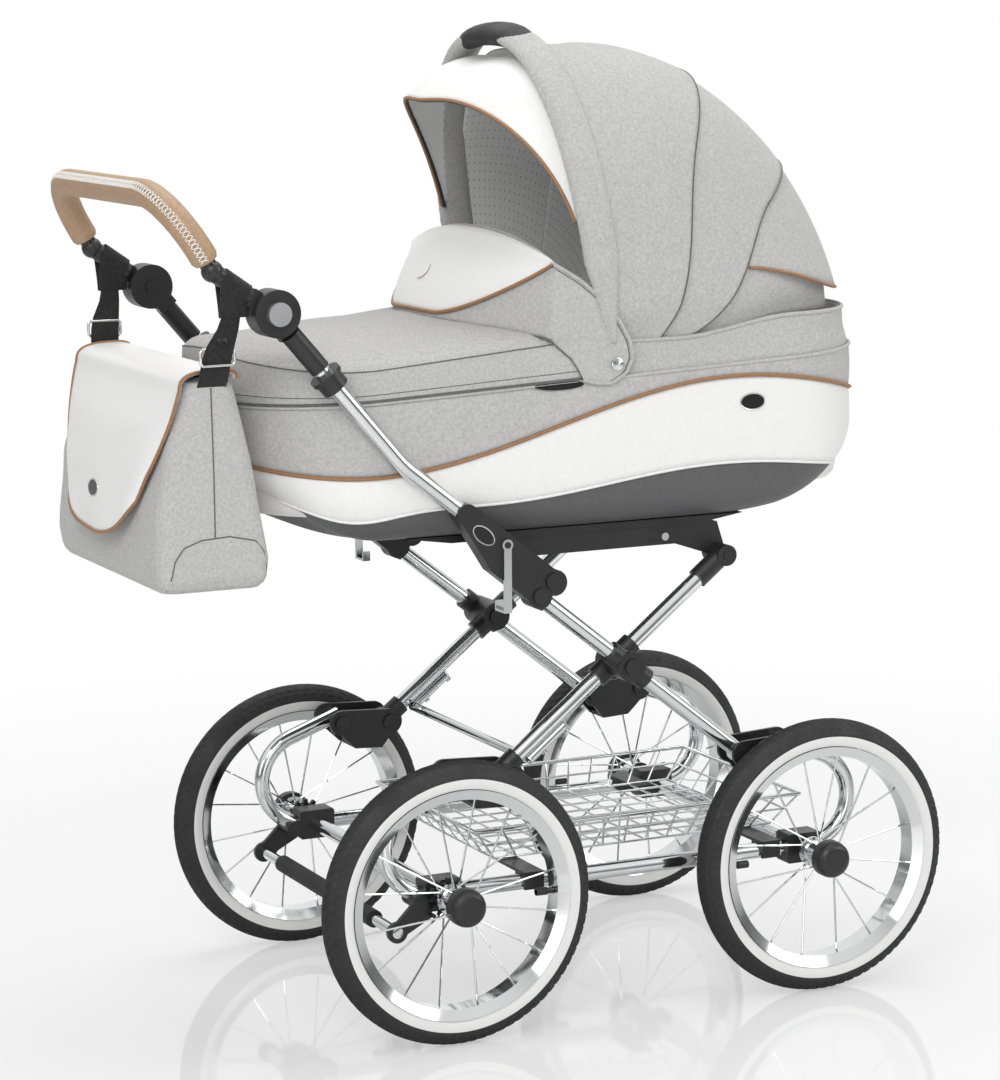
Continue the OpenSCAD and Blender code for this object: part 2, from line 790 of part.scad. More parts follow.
// chrome strap that hangs from the bracket and loops under the outer tube
module bail(side) {
  pin = on_outer(bail_along, arm_off);
  y1 = outer_y + tube_r + bracket_wall + bail_gap;
  y0 = outer_y - tube_r;
  color(chrome) on_base() mirror([0, side < 0 ? 1 : 0, 0]) difference() {
    union() {
      slab(y1, y1 + bail_t) union() {
        translate(pin) circle(r = bail_boss_r);
        translate([pin[0] - bail_w / 2, pin[1] - bail_len]) square([bail_w, bail_len]);
      }
      slab(y0, y1 + bail_t) translate([pin[0] - bail_w / 2, pin[1] - bail_len - bail_t])
        square([bail_w, bail_t]);
      slab(y0, y0 + bail_t) translate([pin[0] - bail_w / 2, pin[1] - bail_len])
        square([bail_w, bail_w]);
    }
    y_rod(pin[0], pin[1], 0, track, bail_pin_r + run);
  }
}

// locking collar on the push arm, pulled up to free the telescopic stem
module collar(side) {
  color(black) on_base() mirror([0, side < 0 ? 1 : 0, 0]) difference() {
    union() {
      rod(at_y(on_arm(collar_at), outer_y), at_y(on_arm(collar_at + collar_len), outer_y), collar_r);
      rod(at_y(on_arm(collar_at + collar_len - collar_lip), outer_y),
          at_y(on_arm(collar_at + collar_len), outer_y), collar_lip_r);
    }
    rod(at_y(on_arm(collar_at - over), outer_y), at_y(on_arm(collar_at + collar_len + over), outer_y),
        tube_r + run);
  }
}

// telescopic sleeve: stem inside the push arm, sleeve above it, inner disc of the tilt joint
module handle_sleeves() {
  y1 = outer_y;
  color(black) on_base() both_sides() difference() {
    union() {
      rod(at_y(on_arm(arm_top_len - stem_len), outer_y), at_y(on_arm(arm_top_len + over), outer_y),
          arm_bore_r);
      rod(at_y(on_arm(arm_top_len + gap), outer_y), at_y(on_arm(joint_len - sleeve_end), outer_y), sleeve_r);
      slab(y1 - disc_t, y1 - gap) union() {
        translate(joint) circle(r = disc_r);
        polygon([on_arm(joint_len - sleeve_end - over, -sleeve_r), on_arm(joint_len, -sleeve_r),
                 on_arm(joint_len, sleeve_r), on_arm(joint_len - sleeve_end - over, sleeve_r)]);
      }
    }
    y_rod(joint[0], joint[1], 0, track, joint_pin_r + run);
  }
}

// outer discs of the tilt joints with their pins and the black stubs that carry the grip
module handle_joints() {
  function on_stub(s, v) = [joint[0] - s * cos(stub_turn) + v * sin(stub_turn),
                            joint[1] + s * sin(stub_turn) + v * cos(stub_turn)];
  color(black) on_base() both_sides() difference() {
    union() {
      slab(outer_y, outer_y + disc_t + button_in) union() {
        translate(joint) circle(r = disc_r);
      }
      slab(outer_y, outer_y + stub_r) polygon([
        on_stub(0, -stub_r), on_stub(stub_start + over, -stub_r),
        on_stub(stub_start + over, stub_r), on_stub(0, stub_r)]);
      y_rod(joint[0], joint[1], outer_y - disc_t - over, outer_y + over, joint_pin_r);
      rod(at_y(on_stub(stub_start, 0), handle_y), at_y(stub_end, handle_y), stub_r);
      translate(at_y(stub_end, handle_y)) sphere(r = elbow_r);
    }
    y_rod(joint[0], joint[1], outer_y + disc_t - button_stroke - gap, outer_y + track, button_r + run);
    in_grip_plane() translate([-handle_y, 0, 0]) rotate([-90, 0, 0])
      cylinder(h = grip_reach, r = handle_r + run);
  }
}

// U shaped handle in its own plane: y across, s away from the grip's ends
module in_grip_plane() {
  translate([stub_end[0], 0, stub_end[1]]) rotate([0, grip_turn, 0]) rotate([0, 180, 90]) children();
}

// bent rod of the handle: two legs, two bends and the bar
module u_bar(r, s0) {
  leg = grip_reach - grip_round;
  for (m = [0, 1]) mirror([m, 0, 0]) {
    translate([handle_y, s0, 0]) rotate([-90, 0, 0]) cylinder(h = leg - s0, r = r);
    translate([handle_y - grip_round, leg, 0]) rotate_extrude(angle = 90)
      translate([grip_round, 0]) circle(r = r);
  }
  translate([grip_round - handle_y, grip_reach, 0]) rotate([0, 90, 0])
    cylinder(h = 2 * (handle_y - grip_round), r = r);
}

module handle_tube() {
  color(black) on_base() in_grip_plane() u_bar(handle_r, 0);
}

module grip() {
  color(tan_hide) on_base() in_grip_plane() difference() {
    u_bar(grip_d / 2, elbow_r + gap);
    u_bar(handle_r, 0);
  }
}

module button(side) {
  color("silver") on_base() mirror([0, side < 0 ? 1 : 0, 0])
    y_rod(joint[0], joint[1], outer_y + disc_t, outer_y + disc_t + button_in + button_out, button_r);
}

// brake pedal on the rear clamps
module at_brake() {
  on_base() translate([brake_px - wheelbase / 2, 0, axle_z + brake_pz]) children();
}

module brake_levers() {
  color(black) at_brake() both_sides() difference() {
    union() {
      slab(brake_y, brake_y + brake_t) union() {
        circle(r = brake_lug_r);
        translate([brake_bar_x, brake_bar_z]) circle(r = brake_boss_r);
        polygon([[-brake_lug_r, 0], [brake_bar_x - brake_boss_r, brake_bar_z],
                 [brake_bar_x + brake_boss_r / 2, brake_bar_z - brake_boss_r / 2],
                 [tooth_x + tooth_r, tooth_z - tooth_r], [brake_lug_r, 0]]);
      }
      y_rod(tooth_x, tooth_z, brake_y, track / 2 - ring_z + ring_t, tooth_r);
    }
    y_rod(0, 0, 0, track, brake_pin_r + run);
    y_rod(brake_bar_x, brake_bar_z, 0, track, brake_bar_r);
  }
}

module brake_bar() {
  color(chrome) at_brake()
    y_rod(brake_bar_x, brake_bar_z, -brake_y - brake_t, brake_y + brake_t, brake_bar_r);
}

module brake_sleeve() {
  color(rubber) at_brake() difference() {
    y_rod(brake_bar_x, brake_bar_z, -brake_sleeve_half, brake_sleeve_half, brake_sleeve_r);
    y_rod(brake_bar_x, brake_bar_z, -track, track, brake_bar_r);
  }
}

// wire basket: a flat wire net of nx by ny cells over a four cornered outline
module net(p00, p10, p11, p01, nx, ny) {
  function at(s, t) = (p00 * (1 - s) + p10 * s) * (1 - t) + (p01 * (1 - s) + p11 * s) * t;
  function inset(a, b) = wire / 2 / norm(b - a);
  difference() {
    polygon([p00, p10, p11, p01]);
    for (i = [0 : nx - 1], j = [0 : ny - 1]) {
      ds = inset(at(0, (j + 0.5) / ny), at(1, (j + 0.5) / ny));
      dt = inset(at((i + 0.5) / nx, 0), at((i + 0.5) / nx, 1));
      polygon([at(i / nx + ds, j / ny + dt), at((i + 1) / nx - ds, j / ny + dt),
               at((i + 1) / nx - ds, (j + 1) / ny - dt), at(i / nx + ds, (j + 1) / ny - dt)]);
    }
  }
}

// floor, two sides and two ends of the basket, each a flat net a hair apart from the next
module basket() {
  z0 = basket_z + wire + gap;
  h = basket_top - z0;
  side_out = basket_y - basket_floor_y;
  side_h = sqrt(h * h + side_out * side_out);
  front_out = basket_x1 - basket_floor_x1;
  rear_out = basket_floor_x0 - basket_x0;
  end_y = basket_floor_y - wire - 2 * gap;
  color(chrome) on_base() {
    translate([0, 0, basket_z]) linear_extrude(wire)
      net([basket_floor_x0, -basket_floor_y], [basket_floor_x1, -basket_floor_y],
          [basket_floor_x1, basket_floor_y], [basket_floor_x0, basket_floor_y],
          basket_cells[0], basket_cells[1]);
    both_sides() translate([0, basket_floor_y, z0]) rotate([90 - atan2(side_out, h), 0, 0])
      linear_extrude(wire)
      net([basket_floor_x0, 0], [basket_floor_x1, 0], [basket_x1, side_h], [basket_x0, side_h],
          basket_cells[0], side_cells);
    for (e = [[basket_floor_x1, front_out, 0], [-basket_floor_x0, rear_out, 1]]) {
      end_h = sqrt(h * h + e[1] * e[1]);
      mirror([e[2], 0, 0]) translate([e[0], 0, z0]) rotate([0, atan2(e[1], h), 0])
        rotate([90, 0, 90]) translate([0, 0, -wire]) linear_extrude(wire)
          net([-end_y, 0], [end_y, 0], [end_y + side_out, end_h], [-end_y - side_out, end_h],
              basket_cells[1], side_cells);
    }
  }
}

// clips that hold the basket on the spring tubes
module basket_clips() {
  color(black) on_base() both_sides() for (x = clip_x) difference() {
    union() {
      translate([x - clip_half, spring_y + tube_r + clip_t - clip_reach, axle_z + tube_r])
        cube([2 * clip_half, clip_reach, clip_t]);
      translate([x - clip_half, spring_y - tube_r - clip_t, axle_z - clip_skirt])
        cube([2 * clip_half, tube_d + 2 * clip_t, tube_r + clip_skirt + clip_t]);
    }
    translate([x - wheelbase, spring_y, axle_z]) rotate([0, 90, 0]) cylinder(h = 2 * wheelbase, r = tube_r);
    translate([x - wheelbase, spring_y - tube_r, axle_z - tube_d])
      cube([2 * wheelbase, tube_d, tube_d]);
  }
}

// points along an arc about c
function arc(c, r, a0, a1, n) =
  [for (i = [0 : n]) let (a = a0 + (a1 - a0) * i / n) [c[0] + r * cos(a), c[1] + r * sin(a)]];

// carrycot
module plan(inset) {
  r = cot_round - inset;
  x0 = cot_x0 + cot_round;
  x1 = cot_x1 - cot_round;
  y1 = cot_y - cot_round;
  polygon(concat(arc([x1, y1], r, 0, 90, corner_steps), arc([x0, y1], r, 90, 180, corner_steps),
                 arc([x0, -y1], r, 180, 270, corner_steps), arc([x1, -y1], r, 270, 360, corner_steps)));
}

// the carrycot's outer form, moved in by inset: its plan, cut by its side and end outlines
module cot_form(inset, top) {
  z0 = tray_z + inset;
  run0 = tray_flat0 - cot_x0;
  run1 = cot_x1 - tray_flat1;
  r0 = (run0 * run0 + tray_rise * tray_rise) / 2 / tray_rise;
  r1 = (run1 * run1 + tray_rise * tray_rise) / 2 / tray_rise;
  w = cot_y - inset;
  c = tray_corner;
  intersection() {
    translate([0, 0, tray_z]) linear_extrude(top - tray_z) plan(inset);
    slab(-cot_w, cot_w) polygon(concat(
      arc([tray_flat0, z0 + r0], r0, 270 - asin(run0 / r0), 270, tray_steps),
      arc([tray_flat1, z0 + r1], r1, 270, 270 + asin(run1 / r1), tray_steps),
      [[cot_x1 + over, z0 + tray_rise], [cot_x1 + over, top + over],
       [cot_x0 - over, top + over], [cot_x0 - over, z0 + tray_rise]]));
    rotate([90, 0, 90]) translate([0, 0, cot_x0 - over]) linear_extrude(cot_len + 2 * over) polygon(concat(
      arc([c - w, z0 + c], c, 180, 270, tray_steps), arc([w - c, z0 + c], c, 270, 360, tray_steps),
      [[w, top + over], [-w, top + over]]));
  }
}

function wave1(x) = wave1_mid - wave1_amp * cos(180 * (x - wave1_x) / wave1_half);
function wave2(x) = wave2_mid - wave2_amp * cos(180 * (x - wave2_x) / wave2_half);
function rim_line(x) = rim_z + (x - cot_x0) * rim_slope_share;
function hem_line(x) = hem_z + (x - head_x) * hem_slope_share;
wave_xs = [for (i = [0 : cot_len / wave_step + 2]) cot_x0 - wave_step + i * wave_step];
function reversed(list) = [for (i = [len(list) - 1 : -1 : 0]) list[i]];

module tray() {
  color(moulded) on_cot() difference() {
    intersection() {
      cot_form(0, wave1_mid + 2 * wave1_amp);
      slab(-cot_w, cot_w) polygon(concat([for (x = wave_xs) [x, wave1(x) - seam]],
        [[cot_x1 + wave_step, tray_z - over], [cot_x0 - wave_step, tray_z - over]]));
    }
    cot_form(cot_wall, wave1_mid + 3 * wave1_amp);
  }
}

module side_band() {
  color(pale) on_cot() difference() {
    intersection() {
      cot_form(0, wave2_mid + 2 * wave2_amp);
      slab(-cot_w, cot_w) polygon(concat([for (x = wave_xs) [x, wave2(x) - seam]],
        reversed([for (x = wave_xs) [x, wave1(x)]])));
    }
    cot_form(cot_wall, wave2_mid + 3 * wave2_amp);
  }
}

module fabric_side() {
  top = rim_line(cot_x1 + cot_round);
  color(cloth) on_cot() difference() {
    intersection() {
      cot_form(0, top);
      slab(-cot_w, cot_w) polygon(concat([for (x = wave_xs) [x, rim_line(x) - seam]],
        reversed([for (x = wave_xs) [x, wave2(x)]])));
    }
    cot_form(cot_wall, top + over);
  }
}

// fixed wall of the head end, from a sill inside the cloth side's rim up to the hem of the hood
module head_wall() {
  top = hem_line(cot_x1 + cot_round);
  back = cot_x1 + over;
  color(cloth) on_cot() difference() {
    union() {
      intersection() {
        cot_form(head_in, top);
        slab(-cot_w, cot_w) polygon([[head_x, rim_line(head_x) - head_sill_h / 2],
          [back, rim_line(back) - head_sill_h / 2], [back, hem_line(back)], [head_x, hem_line(head_x)]]);
      }
      intersection() {
        cot_form(cot_wall + seam, top);
        slab(-cot_w, cot_w) polygon([[head_x, rim_line(head_x) - head_sill_h],
          [back, rim_line(back) - head_sill_h], [back, rim_line(back) - seam],
          [head_x, rim_line(head_x) - seam]]);
      }
    }
    cot_form(head_in + head_wall_t, top + over);
  }
}

module mattress() {
  color(pale) on_cot() intersection() {
    cot_form(cot_wall + gap, mattress_top);
    rotate([90, 0, 90]) translate([0, 0, cot_x0]) linear_extrude(cot_len) polygon(concat(
      [[-cot_y, tray_z]], [[cot_y, tray_z]],
      arc([0, mattress_top - mattress_crown_r], mattress_crown_r,
          90 - crown_turn, 90 + crown_turn, tray_steps)));
  }
}

module adapter_rails() {
  y0 = rail_y1 - rail_w / 2 - adapter_w / 2;
  color(black) on_cot() both_sides() slab(y0, y0 + adapter_w) polygon([
    [adapter_x0, tray_z], [adapter_x0 + adapter_taper, tray_z - adapter_h],
    [adapter_x1 - adapter_taper, tray_z - adapter_h], [adapter_x1, tray_z]]);
}

// foot cover: crowned across, sloping up to the wind collar
module cover_form(inset) {
  intersection() {
    translate([0, 0, rim_z - over]) linear_extrude(cover_ridge) plan(inset);
    translate([cot_x0, 0, cover_ridge]) rotate([0, -cover_slope, 0]) translate([-cot_len, 0, -cover_crown_r])
      rotate([90, 0, 90]) linear_extrude(3 * cot_len) polygon(concat(
        [[-cot_w, 0], [cot_w, 0]], arc([0, 0], cover_crown_r - inset, 55, 125, 2 * corner_steps)));
  }
}

// frame of the wind collar: its axis leans towards the hood
module in_collar() {
  translate([collar_x + collar_round * cos(collar_tilt), 0, collar_z - collar_round * sin(collar_tilt)])
    rotate([0, collar_tilt, 0]) children();
}

module foot_cover() {
  color(cloth) on_cot() difference() {
    intersection() {
      cover_form(0);
      slab(-cot_w, cot_w) polygon([[cot_x0 - over, rim_line(cot_x0 - over)], [cot_x1, rim_line(cot_x1)],
        [cot_x1, cover_ridge + cot_w], [cot_x0 - over, cover_ridge + cot_w]]);
    }
    cover_form(cover_wall);
    in_collar() translate([0, 0, -cot_w]) cylinder(h = 2 * cot_w, r = collar_round + gap, $fn = 180);
    translate([head_x - cot_wall, -cot_w, tray_z]) cube([cot_len, cot_w * 2, cot_w]);
  }
}

// the space in front of the hood's bow
module before_hood() {
  slab(-cot_w, cot_w) polygon([[pivot[0], pivot[1]],
    [pivot[0] - cot_w * sin(collar_clear_turn), pivot[1] + cot_w * cos(collar_clear_turn)],
    [cot_x0, pivot[1] + cot_w], [cot_x0, rim_z], [pivot[0], rim_z]]);
}

// standing collar that closes the foot cover towards the hood, with an ear at each hood pivot
module wind_collar() {
  color(cloth) on_cot() {
    intersection() {
      in_collar() rotate_extrude(angle = 2 * collar_sweep, start = 180 - collar_sweep)
        translate([collar_round - collar_t, -collar_h / 2]) square([collar_t, collar_h * 3 / 2]);
      translate([0, 0, rim_z + cover_wall]) linear_extrude(cot_w) plan(cover_wall + gap);
      before_hood();
    }
    both_sides() ear();
  }
}

// side ear of the collar around the hood's pivot, with its stud
module ear() {
  back = pivot[0] - ear_r * 3;
  slab(cot_y, cot_y + ear_t) union() {
    translate(pivot) circle(r = ear_r);
    polygon([[pivot[0] + ear_r, pivot[1]], [pivot[0], pivot[1] - ear_r], [back, pivot[1] + ear_r / 2],
             [back, pivot[1] + ear_r * 3], [pivot[0] + ear_r / 3, pivot[1] + ear_r]]);
  }
  y_rod(pivot[0], pivot[1], cot_y + ear_t, cot_y + ear_t + stud_out, stud_r);
}

// pale flap turned down over the foot side of the collar
module wind_flap() {
  color(pale) on_cot() difference() {
    intersection() {
      in_collar() rotate_extrude(angle = 2 * lapel_sweep, start = 180 - lapel_sweep)
        translate([collar_round + gap, collar_h - lapel_h]) square([lapel_t, lapel_h]);
      before_hood();
    }
    cover_form(-lapel_clear);
  }
}

// arch of the hood across its width, at radius r from the pivot line: a rounded square outline
function arch_point(a, h, w) =
  let (r = h * pow(sin(a), 2 / hood_power))
  [r, w * pow(cos(a), 2 / hood_power) + hood_bulge * sin(180 * min(1, r / h))];
function half_arch(h, w) = [for (i = [0 : arch_steps]) arch_point(90 * i / arch_steps, h, w)];
function arch(h, w) = concat([for (p = half_arch(h, w)) p],
                             [for (p = reversed(half_arch(h, w))) [p[0], -p[1]]]);

module arch_band(h, w, t, from) {
  difference() {
    polygon(arch(h, w));
    polygon(arch(h - t, w - t));
    translate([-over, -2 * w]) square([from + over, 4 * w]);
  }
}

// a slice of the hood between two angles
module hood_slice(a0, a1) {
  translate([pivot[0], 0, pivot[1]]) rotate([90, 0, 0])
    rotate_extrude(angle = a1 - a0, start = 90 - a1, $fn = 180) children();
}

module hood_front_section() {
  color(cloth) on_cot() {
    hood_slice(hood_front_turn, hood_front_turn + hood_sector_turn)
      arch_band(hood_h, hood_w, hood_wall, hood_from);
    hood_slice(bow_front_turn, hood_front_turn) arch_band(hood_h + bow_out, hood_w + gap, bow_t, bow_from);
    hood_slice(visor_front_turn, bow_front_turn)
      arch_band(hood_h - visor_drop, hood_w - visor_drop, visor_wall, visor_from);
    hood_slice(bow_front_turn - visor_rim_turn, bow_front_turn)
      arch_band(hood_h, hood_w - visor_drop / 2, visor_drop + visor_wall, visor_from);
  }
}

// black carrying grip on the crown of the bow
module hood_grip() {
  color(black) on_cot() hood_slice(bow_front_turn, hood_front_turn) intersection() {
    translate([hood_h - bow_t, -carry_half]) square([bow_t + bow_out + carry_t, 2 * carry_half]);
    difference() {
      polygon(arch(hood_h + bow_out + carry_t, hood_w));
      polygon(arch(hood_h + bow_out, hood_w + gap));
    }
  }
}

module hood_middle_section() {
  a0 = hood_front_turn + hood_sector_turn - hood_lap_turn;
  color(cloth) on_cot() hood_slice(a0, a0 + hood_sector_turn)
    arch_band(hood_h - hood_step, hood_w - hood_step, hood_wall, hood_from);
}

// the rear section ends at the hem of the head wall
module hood_rear_section() {
  a0 = hood_front_turn + 2 * (hood_sector_turn - hood_lap_turn);
  color(cloth) on_cot() difference() {
    hood_slice(a0, a0 + hood_sector_turn)
      arch_band(hood_h - 2 * hood_step, hood_w - 2 * hood_step, hood_wall, hood_from);
    slab(-cot_w, cot_w) polygon([[pivot[0], tray_z], [cot_x1 + cot_round, tray_z],
      [cot_x1 + cot_round, hem_line(cot_x1 + cot_round)], [pivot[0], hem_line(pivot[0])]]);
  }
}

// bag
module bag_block(inset, z0, z1) {
  r = bag_round - inset;
  x0 = bag_x0 + inset;
  x1 = bag_x1 - inset;
  y1 = bag_w / 2 - inset;
  translate([0, 0, z0]) linear_extrude(z1 - z0) union() {
    for (x = [x0 + r, x1 - r], y = [r - y1, y1 - r]) translate([x, y]) circle(r = r);
    translate([x0 + r, -y1]) square([x1 - x0 - 2 * r, 2 * y1]);
    translate([x0, r - y1]) square([x1 - x0, 2 * (y1 - r)]);
  }
}

module bag_body() {
  color(cloth) on_base() difference() {
    bag_block(0, bag_z0, bag_z1);
    bag_block(bag_wall, bag_z0 + bag_wall, bag_z1 + over);
  }
}

module bag_flap() {
  y1 = bag_w / 2 - bag_round;
  color(pale) on_base() {
    translate([bag_x0 - gap - flap_t, -y1, bag_z1 + gap])
      cube([bag_deep + gap + flap_t - bag_wall, 2 * y1, flap_t]);
    translate([bag_x0 - gap, 0, 0]) rotate([90, 0, -90]) linear_extrude(flap_t) union() {
      translate([-y1, bag_z1 + gap - flap_drop + flap_r]) square([2 * y1, flap_drop - flap_r + flap_t]);
      translate([flap_r - y1, bag_z1 + gap - flap_drop]) square([2 * (y1 - flap_r), flap_drop]);
      for (s = [-1, 1]) translate([s * (y1 - flap_r), bag_z1 + gap - flap_drop + flap_r]) circle(r = flap_r);
    }
  }
}

// where the loops sit on the handle stubs, and the bar that the bag swings on
loop_at = [joint[0] - strap_at * cos(stub_turn), joint[1] + strap_at * sin(stub_turn)];
swing = [loop_at[0], loop_at[1] - strap_drop];

// loops on the handle stubs with the bars that carry the bag
module bag_loops() {
  along = [loop_w / 2 * cos(stub_turn), loop_w / 2 * sin(stub_turn)];
  color(rubber) on_base() both_sides() {
    difference() {
      union() {
        rod([loop_at[0] + along[0], handle_y, loop_at[1] - along[1]],
            [loop_at[0] - along[0], handle_y, loop_at[1] + along[1]], stub_r + loop_t);
        slab(handle_y - strap_t / 2, handle_y + strap_t / 2) union() {
          translate(swing) circle(r = strap_eye_r);
          translate([swing[0] - strap_eye_r, swing[1]]) square([2 * strap_eye_r, strap_drop]);
        }
        y_rod(swing[0], swing[1], bag_w / 2 - over, handle_y + strap_t / 2, strap_pin_r);
      }
      rod([loop_at[0] + 3 * along[0], handle_y, loop_at[1] - 3 * along[1]],
          [loop_at[0] - 3 * along[0], handle_y, loop_at[1] + 3 * along[1]], stub_r);
    }
  }
}

// webbing on the bag's sides, up to the bars
module bag_straps() {
  color(rubber) on_base() both_sides() difference() {
    slab(bag_w / 2, bag_w / 2 + strap_t) union() {
      translate(swing) circle(r = strap_eye_r);
      translate([swing[0] - strap_eye_r, bag_z1 - strap_low])
        square([2 * strap_eye_r, swing[1] - bag_z1 + strap_low]);
      translate([swing[0] - strap_w, bag_z1 - strap_low]) square([strap_w + strap_eye_r, strap_low / 2]);
    }
    y_rod(swing[0], swing[1], 0, track, strap_pin_r + run);
  }
}

place_wheel(-1, 1) tyre(-1);  // tyre_rear_left
place_wheel(-1, -1) tyre(-1);  // tyre_rear_right
place_wheel(1, 1) tyre(1);  // tyre_front_left
place_wheel(1, -1) tyre(1);  // tyre_front_right
place_wheel(-1, 1) rim(-1);  // rim_rear_left
place_wheel(-1, -1) rim(-1);  // rim_rear_right
place_wheel(1, 1) rim(1);  // rim_front_left
place_wheel(1, -1) rim(1);  // rim_front_right
place_wheel(-1, 1) hub(-1);  // hub_rear_left
place_wheel(-1, -1) hub(-1);  // hub_rear_right
place_wheel(1, 1) hub(1);  // hub_front_left
place_wheel(1, -1) hub(1);  // hub_front_right
spring_tube(1);  // spring_left
spring_tube(-1);  // spring_right
axles();
axle_clamps();
spring_bolts();
basket();
basket_clips();
brake_levers();
brake_bar();
brake_sleeve();
link(-1);  // rear_links
link(1);  // front_links
inner_tubes();
inner_fittings();
cross_bar();
outer_tubes();
outer_sleeves();
top_rails();
rail_pins();
hinge_brackets();
push_arms();
bail(1);  // bail_left
bail(-1);  // bail_right
collar(1);  // collar_left
collar(-1);  // collar_right
handle_sleeves();
handle_joints();
handle_tube();
grip();
button(1);  // button_left
button(-1);  // button_right
bag_body();
bag_flap();
bag_straps();
bag_loops();
tray();
side_band();
fabric_side();
head_wall();
mattress();
adapter_rails();
foot_cover();
wind_collar();
wind_flap();
hood_front_section();
hood_grip();
hood_middle_section();
hood_rear_section();
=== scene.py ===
# %% [markdown]
# A bassinet pram, dressed in Blender. The frame of tubes, hinges and wheels comes from the CAD
# model and stays where it is. This lesson adds what CAD leaves plain: cloth, leatherette, piping,
# stitching, tyre tread, the round wires of the basket, and a finish for every surface.

import json
from math import acos, atan, atan2, cos, degrees, exp, hypot, pi, radians, sin, sqrt, tan

import bmesh
import bpy
from mathutils import Matrix, Vector


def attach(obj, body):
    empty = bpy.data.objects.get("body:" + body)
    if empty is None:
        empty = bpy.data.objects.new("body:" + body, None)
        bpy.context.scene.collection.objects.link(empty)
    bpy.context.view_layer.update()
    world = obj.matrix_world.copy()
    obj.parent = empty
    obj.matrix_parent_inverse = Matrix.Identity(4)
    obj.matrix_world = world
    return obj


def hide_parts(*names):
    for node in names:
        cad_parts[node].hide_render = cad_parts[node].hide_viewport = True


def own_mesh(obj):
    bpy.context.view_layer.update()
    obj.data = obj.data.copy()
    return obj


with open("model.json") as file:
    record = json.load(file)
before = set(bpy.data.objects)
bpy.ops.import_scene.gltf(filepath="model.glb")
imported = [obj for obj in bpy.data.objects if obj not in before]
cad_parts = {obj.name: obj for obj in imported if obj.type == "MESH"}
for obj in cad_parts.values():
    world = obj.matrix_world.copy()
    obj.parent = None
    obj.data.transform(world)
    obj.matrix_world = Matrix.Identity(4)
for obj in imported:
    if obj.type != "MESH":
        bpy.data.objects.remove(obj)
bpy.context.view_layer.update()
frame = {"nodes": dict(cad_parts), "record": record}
scene = bpy.context.scene

# %% [markdown]
# All drawing sizes are in millimetres from the middle of the wheelbase, as on a workshop drawing.
# One helper turns them into the shared frame, which is in metres. Two more are used all through the
# lesson: mix goes from one value to another, and ease goes from 0 to 1 with a soft start and end.

# %% Drawing units
MID_X, MM = 0.09315, 0.001
AXLE_X, WHEEL_Y, AXLE_Z = 253.0, 253.5, 175.0
HANDS = ((-1, "right"), (1, "left"))


def at(x, y, z):
    """A point of the drawing, in metres in the shared frame."""
    return Vector((x * MM + MID_X, y * MM, z * MM))


def mix(a, b, t):
    return a + (b - a) * t


def ease(t):
    t = min(1.0, max(0.0, t))
    return t * t * (3 - 2 * t)


print("wheel centre", tuple(at(-AXLE_X, -WHEEL_Y, AXLE_Z)))

# %% [markdown]
# The camera stands where the photographer stood: about 4.3 m away, a little above the handle, with a
# long lens. It is set first, so that every later piece can be judged in the same picture.

# %% Camera
FOCAL_PIXELS, PHOTO_HEIGHT, SENSOR = 3369.7, 1080, 36
eye = Vector((MID_X - 1.8928, -3.8273, 1.2514))
aim = Vector((MID_X - 0.0716, 0.0, 0.5667))
roll = radians(-0.4434)
forward = (aim - eye).normalized()
level = forward.cross(Vector((0, 0, 1))).normalized()
lift = level.cross(forward)
right = level * cos(roll) + lift * sin(roll)
up = lift * cos(roll) - level * sin(roll)
lens = bpy.data.cameras.new("camera")
lens.sensor_fit = "VERTICAL"
lens.sensor_height = SENSOR
lens.lens = FOCAL_PIXELS * SENSOR / PHOTO_HEIGHT
camera = bpy.data.objects.new("camera", lens)
camera.matrix_world = Matrix.Translation(eye) @ Matrix((right, up, -forward)).transposed().to_4x4()
scene.collection.objects.link(camera)
scene.camera = camera
print("lens", round(lens.lens, 1), "mm")

# %% [markdown]
# Materials are built from nodes. These helpers make a node with its values, join sockets, and add the
# two kinds of node that come back most: a noise texture, and a ramp that spreads a value over a range.


# %% Node helpers
def node(tree, kind, values=None, **settings):
    """A shader node with its own settings, and values for inputs by name or number."""
    made = tree.nodes.new("ShaderNode" + kind)
    for key, value in settings.items():
        setattr(made, key, value)
    for key, value in (values or {}).items():
        made.inputs[key].default_value = value
    return made


def wire(tree, *joints):
    """Joins sockets. Each joint is a node, its output, the next node and its input."""
    for source, output, target, into in joints:
        tree.links.new(source.outputs[output], target.inputs[into])


def noise(tree, scale, detail, rough):
    return node(tree, "TexNoise", {"Scale": scale, "Detail": detail, "Roughness": rough})


def ramp(tree, start, stop, low=0.0, high=1.0, kind="LINEAR"):
    return node(tree, "MapRange", {1: start, 2: stop, 3: low, 4: high}, interpolation_type=kind)


def new_material(name, values):
    """A node material whose shader has those values; returns it with its tree and its shader."""
    material = bpy.data.materials.new(name)
    material.use_nodes = True
    shader = material.node_tree.nodes["Principled BSDF"]
    for key, value in values.items():
        shader.inputs[key].default_value = value
    return material, material.node_tree, shader


print("node helpers ready")

# %% [markdown]
# A studio for white goods: a pale floor that keeps a soft shadow and a faint reflection, a white
# surround for the camera and for the chrome, and large soft lamps on both sides and above. The floor
# glows for the camera only, and more so further out, so that it runs into the white surround.

